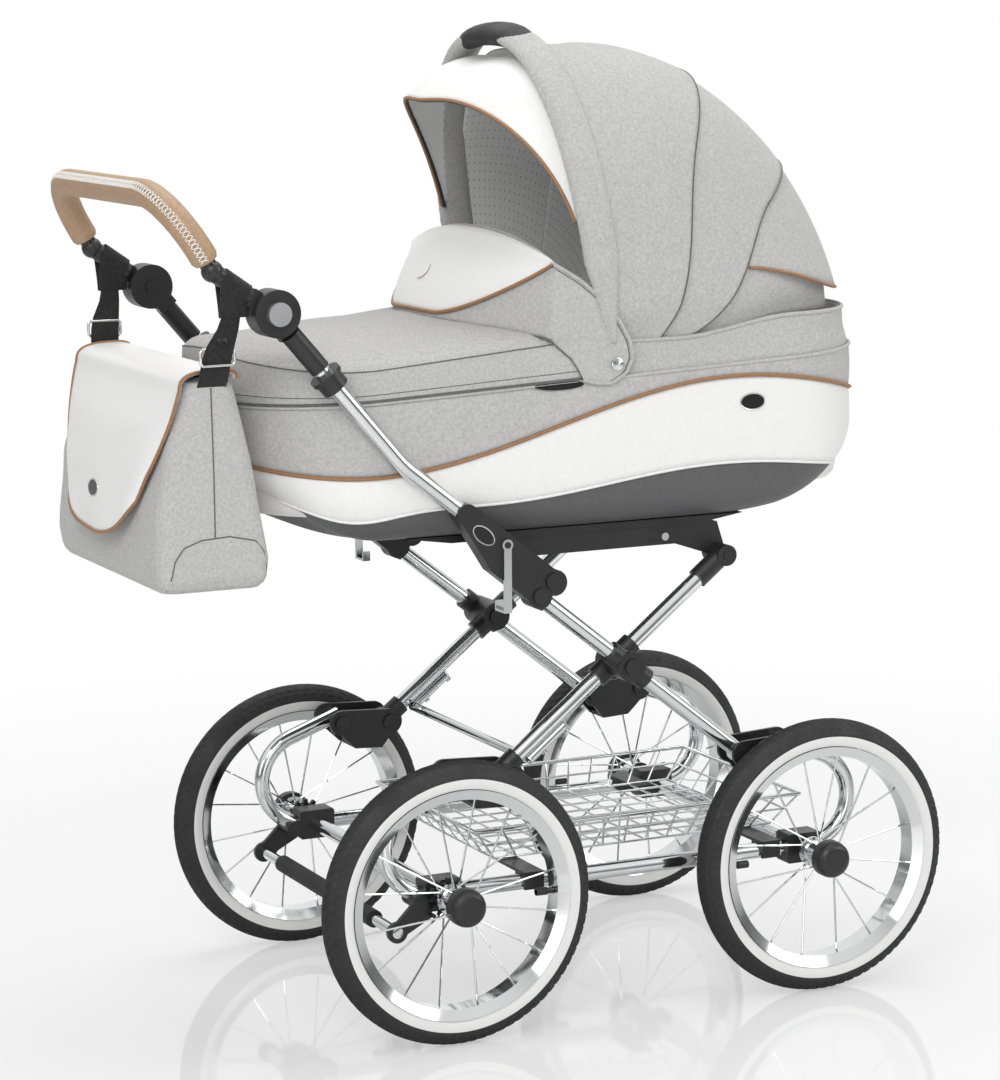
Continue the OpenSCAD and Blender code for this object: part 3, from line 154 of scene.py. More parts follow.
# %% Floor
FLOOR_SIZE, FLOOR_NEAR, FLOOR_FAR, FLOOR_GLOW = 14, 0.8, 2.2, 0.42
WHITE_LIGHT = (1, 1, 1, 1)
bm = bmesh.new()
bmesh.ops.create_grid(bm, x_segments=2, y_segments=2, size=FLOOR_SIZE)
floor_mesh = bpy.data.meshes.new("floor")
bm.to_mesh(floor_mesh)
bm.free()
floor = bpy.data.objects.new("floor", floor_mesh)
scene.collection.objects.link(floor)
floor_values = {"Base Color": (0.86, 0.86, 0.86, 1), "Roughness": 0.05, "Specular IOR Level": 0.5}
floor_finish, tree, shader = new_material("floor_white", floor_values)
rays, coords = node(tree, "LightPath"), node(tree, "TexCoord")
distance = node(tree, "VectorMath", operation="LENGTH")
fade = ramp(tree, FLOOR_NEAR, FLOOR_FAR, FLOOR_GLOW, 1.0, "SMOOTHSTEP")
glow = node(tree, "Emission", {"Color": WHITE_LIGHT})
seen = node(tree, "Math", operation="MULTIPLY")
blend = node(tree, "MixShader")
wire(
    tree, (coords, "Object", distance, 0), (distance, "Value", fade, "Value"),
    (rays, "Is Camera Ray", seen, 0), (fade, 0, seen, 1), (seen, 0, blend, 0),
    (shader, 0, blend, 1), (glow, 0, blend, 2), (blend, 0, tree.nodes["Material Output"], "Surface"),
)
floor_mesh.materials.append(floor_finish)
print("floor", 2 * FLOOR_SIZE, "m wide")

# %% [markdown]
# The surround is white for the camera. In mirrors it is dark near the horizon and bright above, and
# bright on the backdrop's side, which gives the chrome its contrast. It lights all else softly.

# %% Surround and lamps
AMBIENT, HORIZON = 0.44, 0.20
world = bpy.data.worlds.new("studio")
scene.world = world
world.use_nodes = True
tree = world.node_tree
back = tree.nodes["Background"]
back.inputs["Color"].default_value = WHITE_LIGHT
rays, coords, split = node(tree, "LightPath"), node(tree, "TexCoord"), node(tree, "SeparateXYZ")
sky = ramp(tree, 0.02, 0.62, HORIZON, 1.0, "SMOOTHSTEP")
facing = node(tree, "VectorMath", {1: (forward.x, forward.y, 0)}, operation="DOT_PRODUCT")
backdrop = ramp(tree, 0.35, 0.85, kind="SMOOTHSTEP")
bright = node(tree, "Math", operation="MAXIMUM")
mirror_level = node(tree, "Mix", {"A": AMBIENT}, data_type="FLOAT")
camera_level = node(tree, "Mix", {"B": 1.0}, data_type="FLOAT")
wire(
    tree, (coords, "Generated", split, 0), (split, "Z", sky, "Value"), (coords, "Generated", facing, 0),
    (facing, "Value", backdrop, "Value"), (sky, 0, bright, 0), (backdrop, 0, bright, 1),
    (rays, "Is Glossy Ray", mirror_level, "Factor"), (bright, 0, mirror_level, "B"),
    (rays, "Is Camera Ray", camera_level, "Factor"), (mirror_level, "Result", camera_level, "A"),
    (camera_level, "Result", back, "Strength"),
)
LAMPS = (  # name, place, height of its aim, size, power
    ("key", (-2.6, -3.2, 3.4), 0.6, 2.2, 84),
    ("fill", (3.4, -2.6, 2.2), 0.6, 2.4, 46),
    ("top", (0.4, 0.6, 3.8), 0.5, 2.6, 60),
    ("low", (-0.8, -3.6, 0.5), 0.4, 1.6, 14),
    ("front", (-3.6, -0.9, 1.1), 0.95, 1.6, 10),
)
for name, place, aim_z, size, power in LAMPS:
    light = bpy.data.lights.new(name, "AREA")
    light.size = size
    light.energy = power
    lamp = bpy.data.objects.new(name, light)
    lamp.location = place
    lamp.rotation_euler = (Vector((0, 0, aim_z)) - Vector(place)).to_track_quat("-Z", "Y").to_euler()
    scene.collection.objects.link(lamp)
scene.view_settings.view_transform = "Standard"
print(len(LAMPS), "lamps")

# %% [markdown]
# Three surface effects come back in several finishes: the flecked weave of a melange cloth, the fine
# wrinkled grain of hide and leatherette, and the faint unevenness of moulded plastic. Each is a
# shader group that gives colours and heights, so that every finish can set its own strength.

# %% Shared surface effects
VEC, COL, NUM = "NodeSocketVector", "NodeSocketColor", "NodeSocketFloat"


def effect(name, inputs, outputs):
    """An empty shader group with named sockets; returns the tree with its two ends."""
    tree = bpy.data.node_groups.new(name, "ShaderNodeTree")
    for way, sockets in (("INPUT", inputs), ("OUTPUT", outputs)):
        for label, kind in sockets.items():
            tree.interface.new_socket(name=label, in_out=way, socket_type=kind)
    return tree, tree.nodes.new("NodeGroupInput"), tree.nodes.new("NodeGroupOutput")


melange, given, gives = effect(
    "melange", {"Vector": VEC, "Light": COL, "Dark": COL}, {"Color": COL, "Height": NUM}
)
flecks, mottle, cloud = noise(melange, 900, 2, 0.6), noise(melange, 260, 3, 0.55), noise(melange, 9, 2, 0.5)
half = node(melange, "Math", {1: 0.6}, operation="MULTIPLY")
mixed = node(melange, "Math", {1: 0.55}, operation="MULTIPLY_ADD")
sharp = ramp(melange, 0.38, 0.78)
soft = node(melange, "Math", {1: 0.18}, operation="MULTIPLY_ADD")
tint = node(melange, "Mix", data_type="RGBA")
wire(
    melange, (given, "Vector", flecks, "Vector"), (given, "Vector", mottle, "Vector"),
    (given, "Vector", cloud, "Vector"), (mottle, 0, half, 0), (flecks, 0, mixed, 0), (half, 0, mixed, 2),
    (mixed, 0, sharp, 0), (cloud, 0, soft, 0), (sharp, 0, soft, 2), (soft, 0, tint, "Factor"),
    (given, "Dark", tint, "A"), (given, "Light", tint, "B"), (tint, "Result", gives, "Color"),
    (mixed, 0, gives, "Height"),
)

hide, given, gives = effect("hide", {"Vector": VEC, "Scale": NUM}, {"Height": NUM, "Shade": NUM})
cells = node(hide, "TexVoronoi", feature="F1")
creases = node(hide, "TexNoise", {"Detail": 4, "Roughness": 0.6})
coarse = node(hide, "Math", {1: 0.35}, operation="MULTIPLY")
joined = node(hide, "Math", {1: 0.6}, operation="MULTIPLY_ADD")
wire(
    hide, (given, "Vector", cells, "Vector"), (given, "Vector", creases, "Vector"),
    (given, "Scale", cells, "Scale"), (given, "Scale", coarse, 0), (coarse, 0, creases, "Scale"),
    (cells, "Distance", joined, 0), (creases, 0, joined, 2), (joined, 0, gives, "Height"),
    (creases, 0, gives, "Shade"),
)

moulded, given, gives = effect(
    "moulded", {"Vector": VEC, "Low": NUM, "High": NUM}, {"Roughness": NUM, "Height": NUM}
)
spark, swell, spread = noise(moulded, 1500, 1, 0.5), noise(moulded, 22, 3, 0.55), ramp(moulded, 0.3, 0.7)
wire(
    moulded, (given, "Vector", spark, "Vector"), (given, "Vector", swell, "Vector"),
    (swell, 0, spread, "Value"), (given, "Low", spread, "To Min"), (given, "High", spread, "To Max"),
    (spread, 0, gives, "Roughness"), (spark, 0, gives, "Height"),
)
print("effects:", [group.name for group in bpy.data.node_groups])

# %% [markdown]
# The finishes. Cloth is rough with a sheen, leatherette and leather have a fine grain, chrome is clean
# and bright, and the black parts are moulded plastic with a satin skin. All of them start from one of
# the effects, laid out in the object's own coordinates, with a bump from its height.


# %% Cloth and hide finishes
def textured(name, group, settings, strength, distance, values):
    """A material with a shared effect and its bump; returns it with its tree, shader and effect."""
    material, tree, shader = new_material(name, values)
    coords = node(tree, "TexCoord")
    skin = node(tree, "Group", settings, node_tree=group)
    bump = node(tree, "Bump", {"Strength": strength, "Distance": distance})
    wire(tree, (coords, "Object", skin, "Vector"), (skin, "Height", bump, "Height"))
    wire(tree, (bump, 0, shader, "Normal"))
    return material, tree, shader, skin


def cloth_finish(name, light, dark, strength=0.35):
    colours = {"Light": (*light, 1), "Dark": (*dark, 1)}
    values = {"Roughness": 0.92, "Specular IOR Level": 0.2, "Sheen Weight": 0.12, "Sheen Roughness": 0.5}
    material, tree, shader, weave = textured(name, melange, colours, strength, 0.0006, values)
    wire(tree, (weave, "Color", shader, "Base Color"))
    return material


def hide_finish(name, colour, deep, scale, strength, rough):
    values = {"Roughness": rough}
    material, tree, shader, grain = textured(name, hide, {"Scale": scale}, strength, 0.0005, values)
    shade = node(tree, "Mix", {"A": (*deep, 1), "B": (*colour, 1)}, data_type="RGBA")
    even = ramp(tree, 0.25, 0.62)
    wire(
        tree, (grain, "Shade", even, "Value"), (even, 0, shade, "Factor"),
        (shade, "Result", shader, "Base Color"),
    )
    return material


def dotted_finish(name, light, dark, dot, repeat, size):
    """Printed cloth: dots in rows along the sheet's own directions, so that they follow the cut."""
    material = cloth_finish(name, light, dark, 0.2)
    tree = material.node_tree
    shader = tree.nodes["Principled BSDF"]
    ground = shader.inputs["Base Color"].links[0].from_node
    cut = node(tree, "UVMap", uv_map="cloth")
    rows = node(tree, "VectorMath", {1: (*repeat, 0)}, operation="MULTIPLY")
    part_of = node(tree, "VectorMath", operation="FRACTION")
    centred = node(tree, "VectorMath", {1: (0.5, 0.5, 0)}, operation="SUBTRACT")
    reach = node(tree, "VectorMath", operation="LENGTH")
    inside = node(tree, "Math", {1: size}, operation="LESS_THAN")
    printed = node(tree, "Mix", {"B": (*dot, 1)}, data_type="RGBA")
    wire(
        tree, (cut, 0, rows, 0), (rows, 0, part_of, 0), (part_of, 0, centred, 0), (centred, 0, reach, 0),
        (reach, "Value", inside, 0), (inside, 0, printed, "Factor"), (ground, "Color", printed, "A"),
        (printed, "Result", shader, "Base Color"),
    )
    return material


LINING = (0.93, 0.925, 0.92), (0.85, 0.85, 0.85)
grey_cloth = cloth_finish("grey_melange", (0.58, 0.575, 0.57), (0.37, 0.37, 0.37))
lining_cloth = cloth_finish("lining", *LINING, 0.2)
dotted_lining = dotted_finish("dotted_lining", *LINING, (0.58, 0.58, 0.58), (84, 18), 0.14)
# Dark seam thread; the same finish colours the foot cover's hem as painted shadow.
dark_seam_and_shadow = cloth_finish("seam_thread_and_shadow", (0.17, 0.17, 0.17), (0.10, 0.10, 0.10), 0.4)
pale_cloth = cloth_finish("pale_ticking", (0.82, 0.81, 0.80), (0.72, 0.71, 0.70), 0.25)
webbing = cloth_finish("black_webbing", (0.035, 0.035, 0.035), (0.012, 0.012, 0.012), 0.5)
white_hide = hide_finish("white_leatherette", (0.87, 0.87, 0.86), (0.82, 0.82, 0.81), 700, 0.12, 0.42)
tan_trim = hide_finish("tan_piping", (0.36, 0.19, 0.09), (0.26, 0.13, 0.06), 900, 0.3, 0.55)
tan_hide = hide_finish("tan_leather", (0.43, 0.285, 0.175), (0.35, 0.225, 0.135), 620, 0.35, 0.5)
tray_skin = hide_finish("dark_tray", (0.105, 0.105, 0.108), (0.085, 0.085, 0.088), 520, 0.25, 0.5)
thread_white = hide_finish("white_thread", (0.85, 0.83, 0.78), (0.72, 0.70, 0.66), 2000, 0.4, 0.7)
print("cloth and hide finishes made")

# %% [markdown]
# Metal, plastic and rubber share one effect. Its two values are the smoothest and the roughest places.


# %% Metal, plastic and rubber finishes
def hard_finish(name, colour, low, high, strength, metallic=0.0):
    values = {"Base Color": (*colour, 1), "Metallic": metallic}
    limits = {"Low": low, "High": high}
    material, tree, shader, skin = textured(name, moulded, limits, strength, 0.0002, values)
    wire(tree, (skin, "Roughness", shader, "Roughness"))
    return material


chrome = hard_finish("chrome", (0.70, 0.705, 0.71), 0.05, 0.12, 0.0, metallic=1.0)
black_plastic = hard_finish("black_plastic", (0.017, 0.017, 0.018), 0.30, 0.48, 0.10)
black_gloss = hard_finish("black_enamel", (0.012, 0.012, 0.012), 0.12, 0.25, 0.02)
silver = hard_finish("silver_paint", (0.62, 0.62, 0.63), 0.22, 0.34, 0.03, metallic=0.85)
soft_rubber = hard_finish("soft_rubber", (0.022, 0.022, 0.023), 0.62, 0.8, 0.2)
tread_rubber = hard_finish("tread_rubber", (0.020, 0.020, 0.021), 0.55, 0.78, 0.25)
white_wall = hard_finish("white_wall", (0.80, 0.80, 0.78), 0.42, 0.55, 0.05)
print("hard finishes made")

# %% [markdown]
# Every CAD node gets the finish of its real material. For the pieces that are made here, a cover is
# the name of a material slot with the finish outside and, where the cloth is lined, the one inside.

# %% Finishes on the CAD nodes
by_slot = {
    "chrome": chrome, "black_plastic": black_plastic, "black_metal": black_gloss, "rubber": soft_rubber,
    "silver": silver, "leather": tan_hide, "grey_fabric": grey_cloth, "white_hide": white_hide,
    "webbing": webbing, "tray_plastic": tray_skin, "mattress_cloth": pale_cloth, "tyre": tread_rubber,
}
for part in frame["record"]["subparts"]:
    made = frame["nodes"][part["node"]]
    made.data.materials.clear()
    made.data.materials.append(by_slot[part["material_slot"]])
GREY, GREY_LINED = ("grey_fabric", grey_cloth), ("grey_fabric", grey_cloth, lining_cloth)
# The dark seam finish, also used for the painted shadow at the foot cover's hem.
GREY_DOTTED, SEAM_AND_SHADOW = ("grey_fabric", grey_cloth, dotted_lining), ("grey_fabric", dark_seam_and_shadow)
WHITE, WHITE_LINED = ("white_hide", white_hide), ("white_hide", white_hide, lining_cloth)
TAN, CHROME, WEBBING = ("leather", tan_trim), ("chrome", chrome), ("webbing", webbing)
RUBBER, PLATE = ("black_plastic", soft_rubber), ("silver", silver, black_gloss)
print("finishes on", len(frame["nodes"]), "nodes")

# %% [markdown]
# Two ways of making a piece cover nearly all of this pram. A sheet is a grid whose points are laid
# on a form, as cloth is laid on a pattern. A tube is a curve with a round section, for piping, wires
# and seams.


# %% Ways of making a piece
def finish_mesh(name, bm, body, cover, nodes=(), smooth=True):
    """Turns a bmesh into a piece that rides on a body and may replace CAD nodes."""
    slot, *materials = cover
    mesh = bpy.data.meshes.new(name)
    bm.to_mesh(mesh)
    bm.free()
    for face in mesh.polygons:
        face.use_smooth = smooth
    piece = bpy.data.objects.new(name, mesh)
    scene.collection.objects.link(piece)
    for material in materials:
        mesh.materials.append(material)
    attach(piece, body)
    if nodes:
        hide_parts(*nodes)
    return piece


def sheet(name, across, along, place, body, cover, nodes=(), thick=0.0, closed=False, flip=False):
    """A grid laid on a form: place(u, v) gives a drawing point for u and v from 0 to 1."""
    bm = bmesh.new()
    bm.loops.layers.uv.new("cloth")
    bmesh.ops.create_grid(bm, x_segments=across, y_segments=along, size=0.5, calc_uvs=True)
    for vert in bm.verts:
        vert.co = at(*place(vert.co.x + 0.5, vert.co.y + 0.5))
    bmesh.ops.remove_doubles(bm, verts=bm.verts, dist=1e-6)
    if closed:
        bmesh.ops.recalc_face_normals(bm, faces=bm.faces)
    if flip:
        bmesh.ops.reverse_faces(bm, faces=bm.faces)
    print(name, round(sum(face.calc_area() for face in bm.faces), 4), "m2")
    piece = finish_mesh(name, bm, body, cover, nodes)
    if thick:
        wall = piece.modifiers.new("thickness", "SOLIDIFY")
        wall.thickness = thick * MM
        wall.offset = -1
        wall.material_offset = len(cover) - 2
    return piece


def tube(name, runs, radius, body, cover, nodes=(), cyclic=False, sides=2):
    """Round cord along one or more runs of drawing points."""
    curve = bpy.data.curves.new(name, "CURVE")
    curve.dimensions = "3D"
    curve.bevel_depth = radius * MM
    curve.bevel_resolution = sides
    curve.use_fill_caps = True
    for run in runs:
        spline = curve.splines.new("POLY")
        spline.points.add(len(run) - 1)
        for point, spot in zip(spline.points, run):
            point.co = (*at(*spot), 1)
        spline.use_cyclic_u = cyclic
    guide = bpy.data.objects.new(name, curve)
    scene.collection.objects.link(guide)
    mesh = bpy.data.meshes.new_from_object(guide.evaluated_get(bpy.context.evaluated_depsgraph_get()))
    bpy.data.objects.remove(guide)
    bm = bmesh.new()
    bm.from_mesh(mesh)
    bpy.data.meshes.remove(mesh)
    return finish_mesh(name, bm, body, cover, nodes)


def line_of(place, v, count):
    """The run of points along one line of a form."""
    return [[place(i / count, v) for i in range(count + 1)]]


print("sheet and tube ready")

# %% [markdown]
# Tyres. The section is nearly round, with shallow grooves round the tread and a broad white ring on
# each side. It is spun round the axle. Then slanting rows of points are moved in to part the blocks
# of the tread.

# %% Tyres
TYRE_C, TYRE_HALF, WHITE_R = 154.0, 21.0, 154.5
SECTION_TURN, SECTION_STEPS, SPIN_STEPS = 123, 40, 240
GROOVE_TO, GROOVE_PITCH, GROOVE_DEEP = 58, 14.5, 1.2
TREAD_FROM, TREAD_TO, TREAD_DEEP = 9.0, 74.0, 2.2
BLOCK_TURN, BLOCK_SLANT, BLOCK_GAP = 4.5, 0.10, 0.3
VALVE = (105.5, 120, 133, 141)


def tyre(name, x, y, nodes, body):
    bm = bmesh.new()
    section = []
    for step in range(SECTION_STEPS + 1):
        turn = radians(mix(-SECTION_TURN, SECTION_TURN, step / SECTION_STEPS))
        side = abs(degrees(turn))
        grooved = side < GROOVE_TO and abs((side / GROOVE_PITCH) % 1 - 0.5) * 2 > 0.8
        reach = TYRE_HALF - (GROOVE_DEEP if grooved else 0.0)
        section.append((TYRE_C + reach * cos(turn), reach * sin(turn)))
    centre = at(x, y, AXLE_Z)
    verts = [bm.verts.new(at(x + r, y + w, AXLE_Z)) for r, w in section]
    edges = [bm.edges.new(pair) for pair in zip(verts, verts[1:])]
    bmesh.ops.spin(
        bm, geom=verts + edges, cent=centre, axis=(0, 1, 0), angle=2 * pi, steps=SPIN_STEPS,
        use_merge=True, use_duplicate=False,
    )
    bmesh.ops.remove_doubles(bm, verts=bm.verts, dist=1e-6)
    bmesh.ops.recalc_face_normals(bm, faces=bm.faces)
    for vert in bm.verts:
        d = vert.co - centre
        r = hypot(d.x, d.z)
        turn = degrees(atan2(d.z, d.x))
        side = degrees(atan2(d.y / MM, r / MM - TYRE_C))
        in_gap = ((turn + abs(side) * BLOCK_SLANT) / BLOCK_TURN) % 1 < BLOCK_GAP
        if in_gap and TREAD_FROM < abs(side) < TREAD_TO:
            lean = radians(side)
            inward = Vector((d.x / r * cos(lean), sin(lean), d.z / r * cos(lean)))
            vert.co -= inward * TREAD_DEEP * MM
    for face in bm.faces:
        d = face.calc_center_median() - centre
        if hypot(d.x, d.z) < WHITE_R * MM:
            face.material_index = 1
    return finish_mesh(name, bm, body, ("tyre", tread_rubber, white_wall), nodes)


for end, ex, valve_way in (("rear", -AXLE_X, 1), ("front", AXLE_X, -1)):
    for hand, hy in (("left", WHEEL_Y), ("right", -WHEEL_Y)):
        wheel = f"{end}_{hand}"
        body = f"wheel_{wheel}"
        tyre(f"tread_{wheel}", ex, hy, [f"tyre_{wheel}"], body)
        stem = [(ex + valve_way * r, hy, AXLE_Z) for r in VALVE]
        tube(f"valve_{wheel}", [stem], 3.85, body, ("tyre", black_gloss), sides=4)
        tube(f"valve_cap_{wheel}", [stem[:2]], 5.0, body, ("tyre", black_plastic), sides=4)
print("tyres spun")

# %% [markdown]
# The basket is a net of thin chrome wires with a thicker rim wire. In CAD it is flat strips, so the round
# wires are drawn here as tubes along the same net.

# %% Basket wires
FLOOR_Z, RIM_Z = 191.0, 230.0
ROUND = ((0, 0), (0.25, 0), (0.5, 0), (0.75, 0), (1, 0), (1, 0.5), (1, 1), (0.5, 1), (0, 1), (0, 0.5))


def basket_point(s, t, height):
    """s along, t across, both 0 to 1; height 0 is the floor, 1 the rim."""
    x0, x1, w = mix(-150, -180, height), mix(245, 280, height), mix(140, 155, height)
    return mix(x0, x1, s), mix(-w, w, t), mix(FLOOR_Z, RIM_Z, height)


def net_wire(point, stops):
    """A wire from the rim down, over the floor in that many stops, and up to the rim again."""
    return [point(0, 1)] + [point(i / stops, 0) for i in range(stops + 1)] + [point(1, 1)]


wires = [net_wire(lambda t, height, s=i / 13: basket_point(s, t, height), 4) for i in range(14)]
wires += [net_wire(lambda s, height, t=i / 8: basket_point(s, t, height), 6) for i in range(9)]
tube("basket_net", wires, 1.5, "base", CHROME, ["basket"])
rings = [[basket_point(s, t, height) for s, t in ROUND] for height in (0.0, 0.5, 1.0)]
tube("basket_rings", rings[:2], 1.5, "base", CHROME, cyclic=True)
tube("basket_rim", rings[2:], 2.6, "base", CHROME, cyclic=True, sides=3)
print("basket wires", len(wires))

# %% [markdown]
# The carrycot is a tub with a rounded plan. One function walks round its outline and another gives its
# outer face at any height, so that the tray, the white band, the cloth side and the piping between them
# all lie on one form.

# %% The carrycot's form
COT_X0, COT_X1, COT_Y, COT_R = -464.0, 386.0, 200.0, 150.0
FOOT_CX, HEAD_CX, SIDE_CY = COT_X0 + COT_R, COT_X1 - COT_R, COT_Y - COT_R
LONG, SHORT, BEND = HEAD_CX - FOOT_CX, 2 * SIDE_CY, pi / 2 * COT_R
GIRTH = 2 * LONG + 2 * SHORT + 4 * BEND
LEGS = (  # length, centre that it starts from, direction that it faces, and whether it bends
    (SHORT / 2, HEAD_CX, 0.0, 0, False), (BEND, HEAD_CX, SIDE_CY, 0, True),
    (LONG, HEAD_CX, SIDE_CY, 90, False), (BEND, FOOT_CX, SIDE_CY, 90, True),
    (SHORT, FOOT_CX, SIDE_CY, 180, False), (BEND, FOOT_CX, -SIDE_CY, 180, True),
    (LONG, FOOT_CX, -SIDE_CY, 270, False), (BEND, HEAD_CX, -SIDE_CY, 270, True),
    (GIRTH, HEAD_CX, -SIDE_CY, 360, False),
)
KEEL_Z, KEEL_RISE, KEEL_X0, KEEL_X1 = 606.0, 60.0, -300.0, 150.0
TUCK_IN = 46.0


def plan(u, inset=0.0):
    """Point and outward normal of the plan outline, u from 0 to 1 from the middle of the head end."""
    d = (u % 1.0) * GIRTH
    for size, cx, cy, faces, bends in LEGS:
        if d <= size:
            break
        d -= size
    turn = radians(faces) + (d / COT_R if bends else 0.0)
    nx, ny, r, slide = cos(turn), sin(turn), COT_R - inset, 0.0 if bends else d
    return cx + nx * r - ny * slide, cy + ny * r + nx * slide, nx, ny


def keel(x):
    """Height of the tray's underside: flat, with a round rise at both ends."""
    if KEEL_X0 <= x <= KEEL_X1:
        return KEEL_Z
    run, d = (KEEL_X0 - COT_X0, KEEL_X0 - x) if x < KEEL_X0 else (COT_X1 - KEEL_X1, x - KEEL_X1)
    r = (run * run + KEEL_RISE * KEEL_RISE) / 2 / KEEL_RISE
    return KEEL_Z + r - sqrt(max(0, r * r - d * d))


def tray_edge(x):
    """Height of the wave between the tray and the white band, with its dip at the foot."""
    dip = 26 * exp(-(((x + 365) / 80) ** 2))
    return 662 - 15 * cos(radians(180 * (x + 190) / 340)) - dip


def band_edge(x):
    """Height of the wave between the white band and the cloth side."""
    return 737 - 48 * cos(radians(180 * (x + 340) / 505))


def rim_line(x):
    return 771 + (x - COT_X0) * 0.045


def hem_line(x):
    """Height of the hood's hem."""
    return 834 + 22 * ease((x - 80) / 170)


def tuck(z, x):
    """How far the tub draws in near its underside."""
    rise = min(KEEL_RISE, max(0.0, z - keel(x)))
    return TUCK_IN * (1 - sqrt(max(0, 1 - ((KEEL_RISE - rise) / KEEL_RISE) ** 2)))


def on_tub(u, z, out=0.0):
    """A point on the tub's outer face, out millimetres proud of it."""
    x, y, nx, ny = plan(u)
    pull = tuck(z, x) - out
    return x - nx * pull, y - ny * pull, z


print("girth", round(GIRTH), "mm")

# %% [markdown]
# The tray is a dark grained moulding. It starts flat under the mattress, rolls up at its edge and ends
# at the wavy lower edge of the white band. The band and the cloth side above it swell a little between
# their edges, and piping covers each join.

# %% Tray, band and cloth side
TURNS, TRAY_FLAT = 180, 0.4


def tray_face(u, v):
    x, y, nx, ny = plan(u)
    if v < TRAY_FLAT:
        share = v / TRAY_FLAT
        pull = tuck(keel(x), x)
        ex, ey = x - nx * pull, y - ny * pull
        px = mix(min(KEEL_X1, max(KEEL_X0, ex)), ex, share)
        return px, ey * share, keel(px)
    share = (v - TRAY_FLAT) / (1 - TRAY_FLAT)
    return on_tub(u, mix(keel(x), tray_edge(x) + 1, share**1.5))


def band_face(u, v):
    x = plan(u)[0]
    return on_tub(u, mix(tray_edge(x) - 1, band_edge(x), v), 1.2 + 1.8 * sin(pi * v) ** 0.6)


def cloth_side_face(u, v):
    x = plan(u)[0]
    puff = 1.6 * sin(pi * v) ** 0.7 + 0.5 * sin(u * 61) * sin(pi * v)
    return on_tub(u, mix(band_edge(x) - 2, rim_line(x), v), 0.4 + puff)


sheet("tray_skin", TURNS, 20, tray_face, "carrycot", ("tray_plastic", tray_skin), ["tray"], thick=5)
sheet("white_band", TURNS, 10, band_face, "carrycot", WHITE_LINED, ["side_band"], thick=4)
sheet("cloth_side", TURNS, 12, cloth_side_face, "carrycot", GREY_LINED, ["fabric_side"], thick=4)
for name, height, drop, out, radius, cover in (
    ("band_piping", band_edge, 0.5, 3.0, 2.3, TAN),
    ("tray_seam", tray_edge, 0.6, 1.6, 1.8, WHITE),
    ("rim_piping", rim_line, 0.0, 1.0, 2.4, GREY),
):
    run = [on_tub(i / 240, height(plan(i / 240)[0]) - drop, out) for i in range(240)]
    tube(name, [run], radius, "carrycot", cover, cyclic=True)
print("tub dressed")

# %% [markdown]
# The head end has a second wall of cloth above the rim. Its upper edge is the hem of the hood. It
# reaches round both corners of the head end, as far as the hood's sides do.

# %% Head wall and hem
HEAD_WALL_X = 4
HEAD_U = next(i / 4000 for i in range(2000) if plan(i / 4000)[0] < HEAD_WALL_X)


def head_face(u, v):
    x, y, nx, ny = plan(mix(-HEAD_U, HEAD_U, u))
    pull = mix(1.5, 8.5, ease(v * 1.6)) - 1.2 * sin(pi * v)
    return x - nx * pull, y - ny * pull, mix(rim_line(x) - 2, hem_line(x), v)


sheet("head_wall_cloth", 120, 10, head_face, "carrycot", GREY_LINED, ["head_wall"], thick=4)
tube("hem_roll", line_of(head_face, 1.0, 100), 2.6, "carrycot", GREY)
print("head wall to u", round(HEAD_U, 3))

# %% [markdown]
# The mattress is a padded piece: a crowned block with a drawn-in edge and a quilted top.

# %% Mattress
PAD_INSET, PAD_LOW, PAD_TOP, PAD_SIDE, PAD_CROWN = 12, 640, 684, 0.35, 14


def mattress_face(u, v):
    x, y, nx, ny = plan(u, PAD_INSET)
    if v < PAD_SIDE:
        share = v / PAD_SIDE
        pull = 3 + 7 * (1 - sin(pi * share) ** 0.5)
        return x - nx * pull, y - ny * pull, mix(PAD_LOW, PAD_TOP, share)
    share = (v - PAD_SIDE) / (1 - PAD_SIDE)
    px, py = mix(x - nx * 10, min(HEAD_CX, max(FOOT_CX, x)), share), (y - ny * 10) * (1 - share)
    quilt = 1.4 * abs(sin((px + py) * 0.035)) * abs(sin((px - py) * 0.035)) * min(1, share * 4)
    return px, py, PAD_TOP + PAD_CROWN * sin(pi / 2 * min(1, share * 1.6)) ** 0.8 + quilt


TICKING = ("mattress_cloth", pale_cloth)
pad = sheet("mattress_pad", TURNS, 26, mattress_face, "carrycot", TICKING, ["mattress"])
print("mattress made")

# %% [markdown]
# The foot cover lies over the foot end. Its top is crowned across and slopes up towards the hood, and a
# border hangs over the rim. It could be draped by a simulation, but the real one is cut and sewn to
# shape, so it is laid on its form here. A dark seam marks the shoulder. A dark cord ends the border: its
# hem, coloured dark as painted shadow of the gap where the border overhangs the side.

# %% Foot cover
COVER_Z, COVER_RISE, COVER_CROWN_R = 842, tan(radians(4.9)), 728.0
COVER_BORDER, SHOULDER = 0.34, 9
COLLAR_FRONT, COLLAR_DEEP, COLLAR_HALF = -198.0, 100.0, 204.0


def cover_top(x, y):
    ridge = COVER_Z + (x - COT_X0) * COVER_RISE
    return ridge - (COVER_CROWN_R - sqrt(COVER_CROWN_R**2 - y * y))


def collar_foot(y):
    """Where the cover meets the collar, at that distance from the middle."""
    return COLLAR_FRONT + COLLAR_DEEP * (y / COLLAR_HALF) ** 2


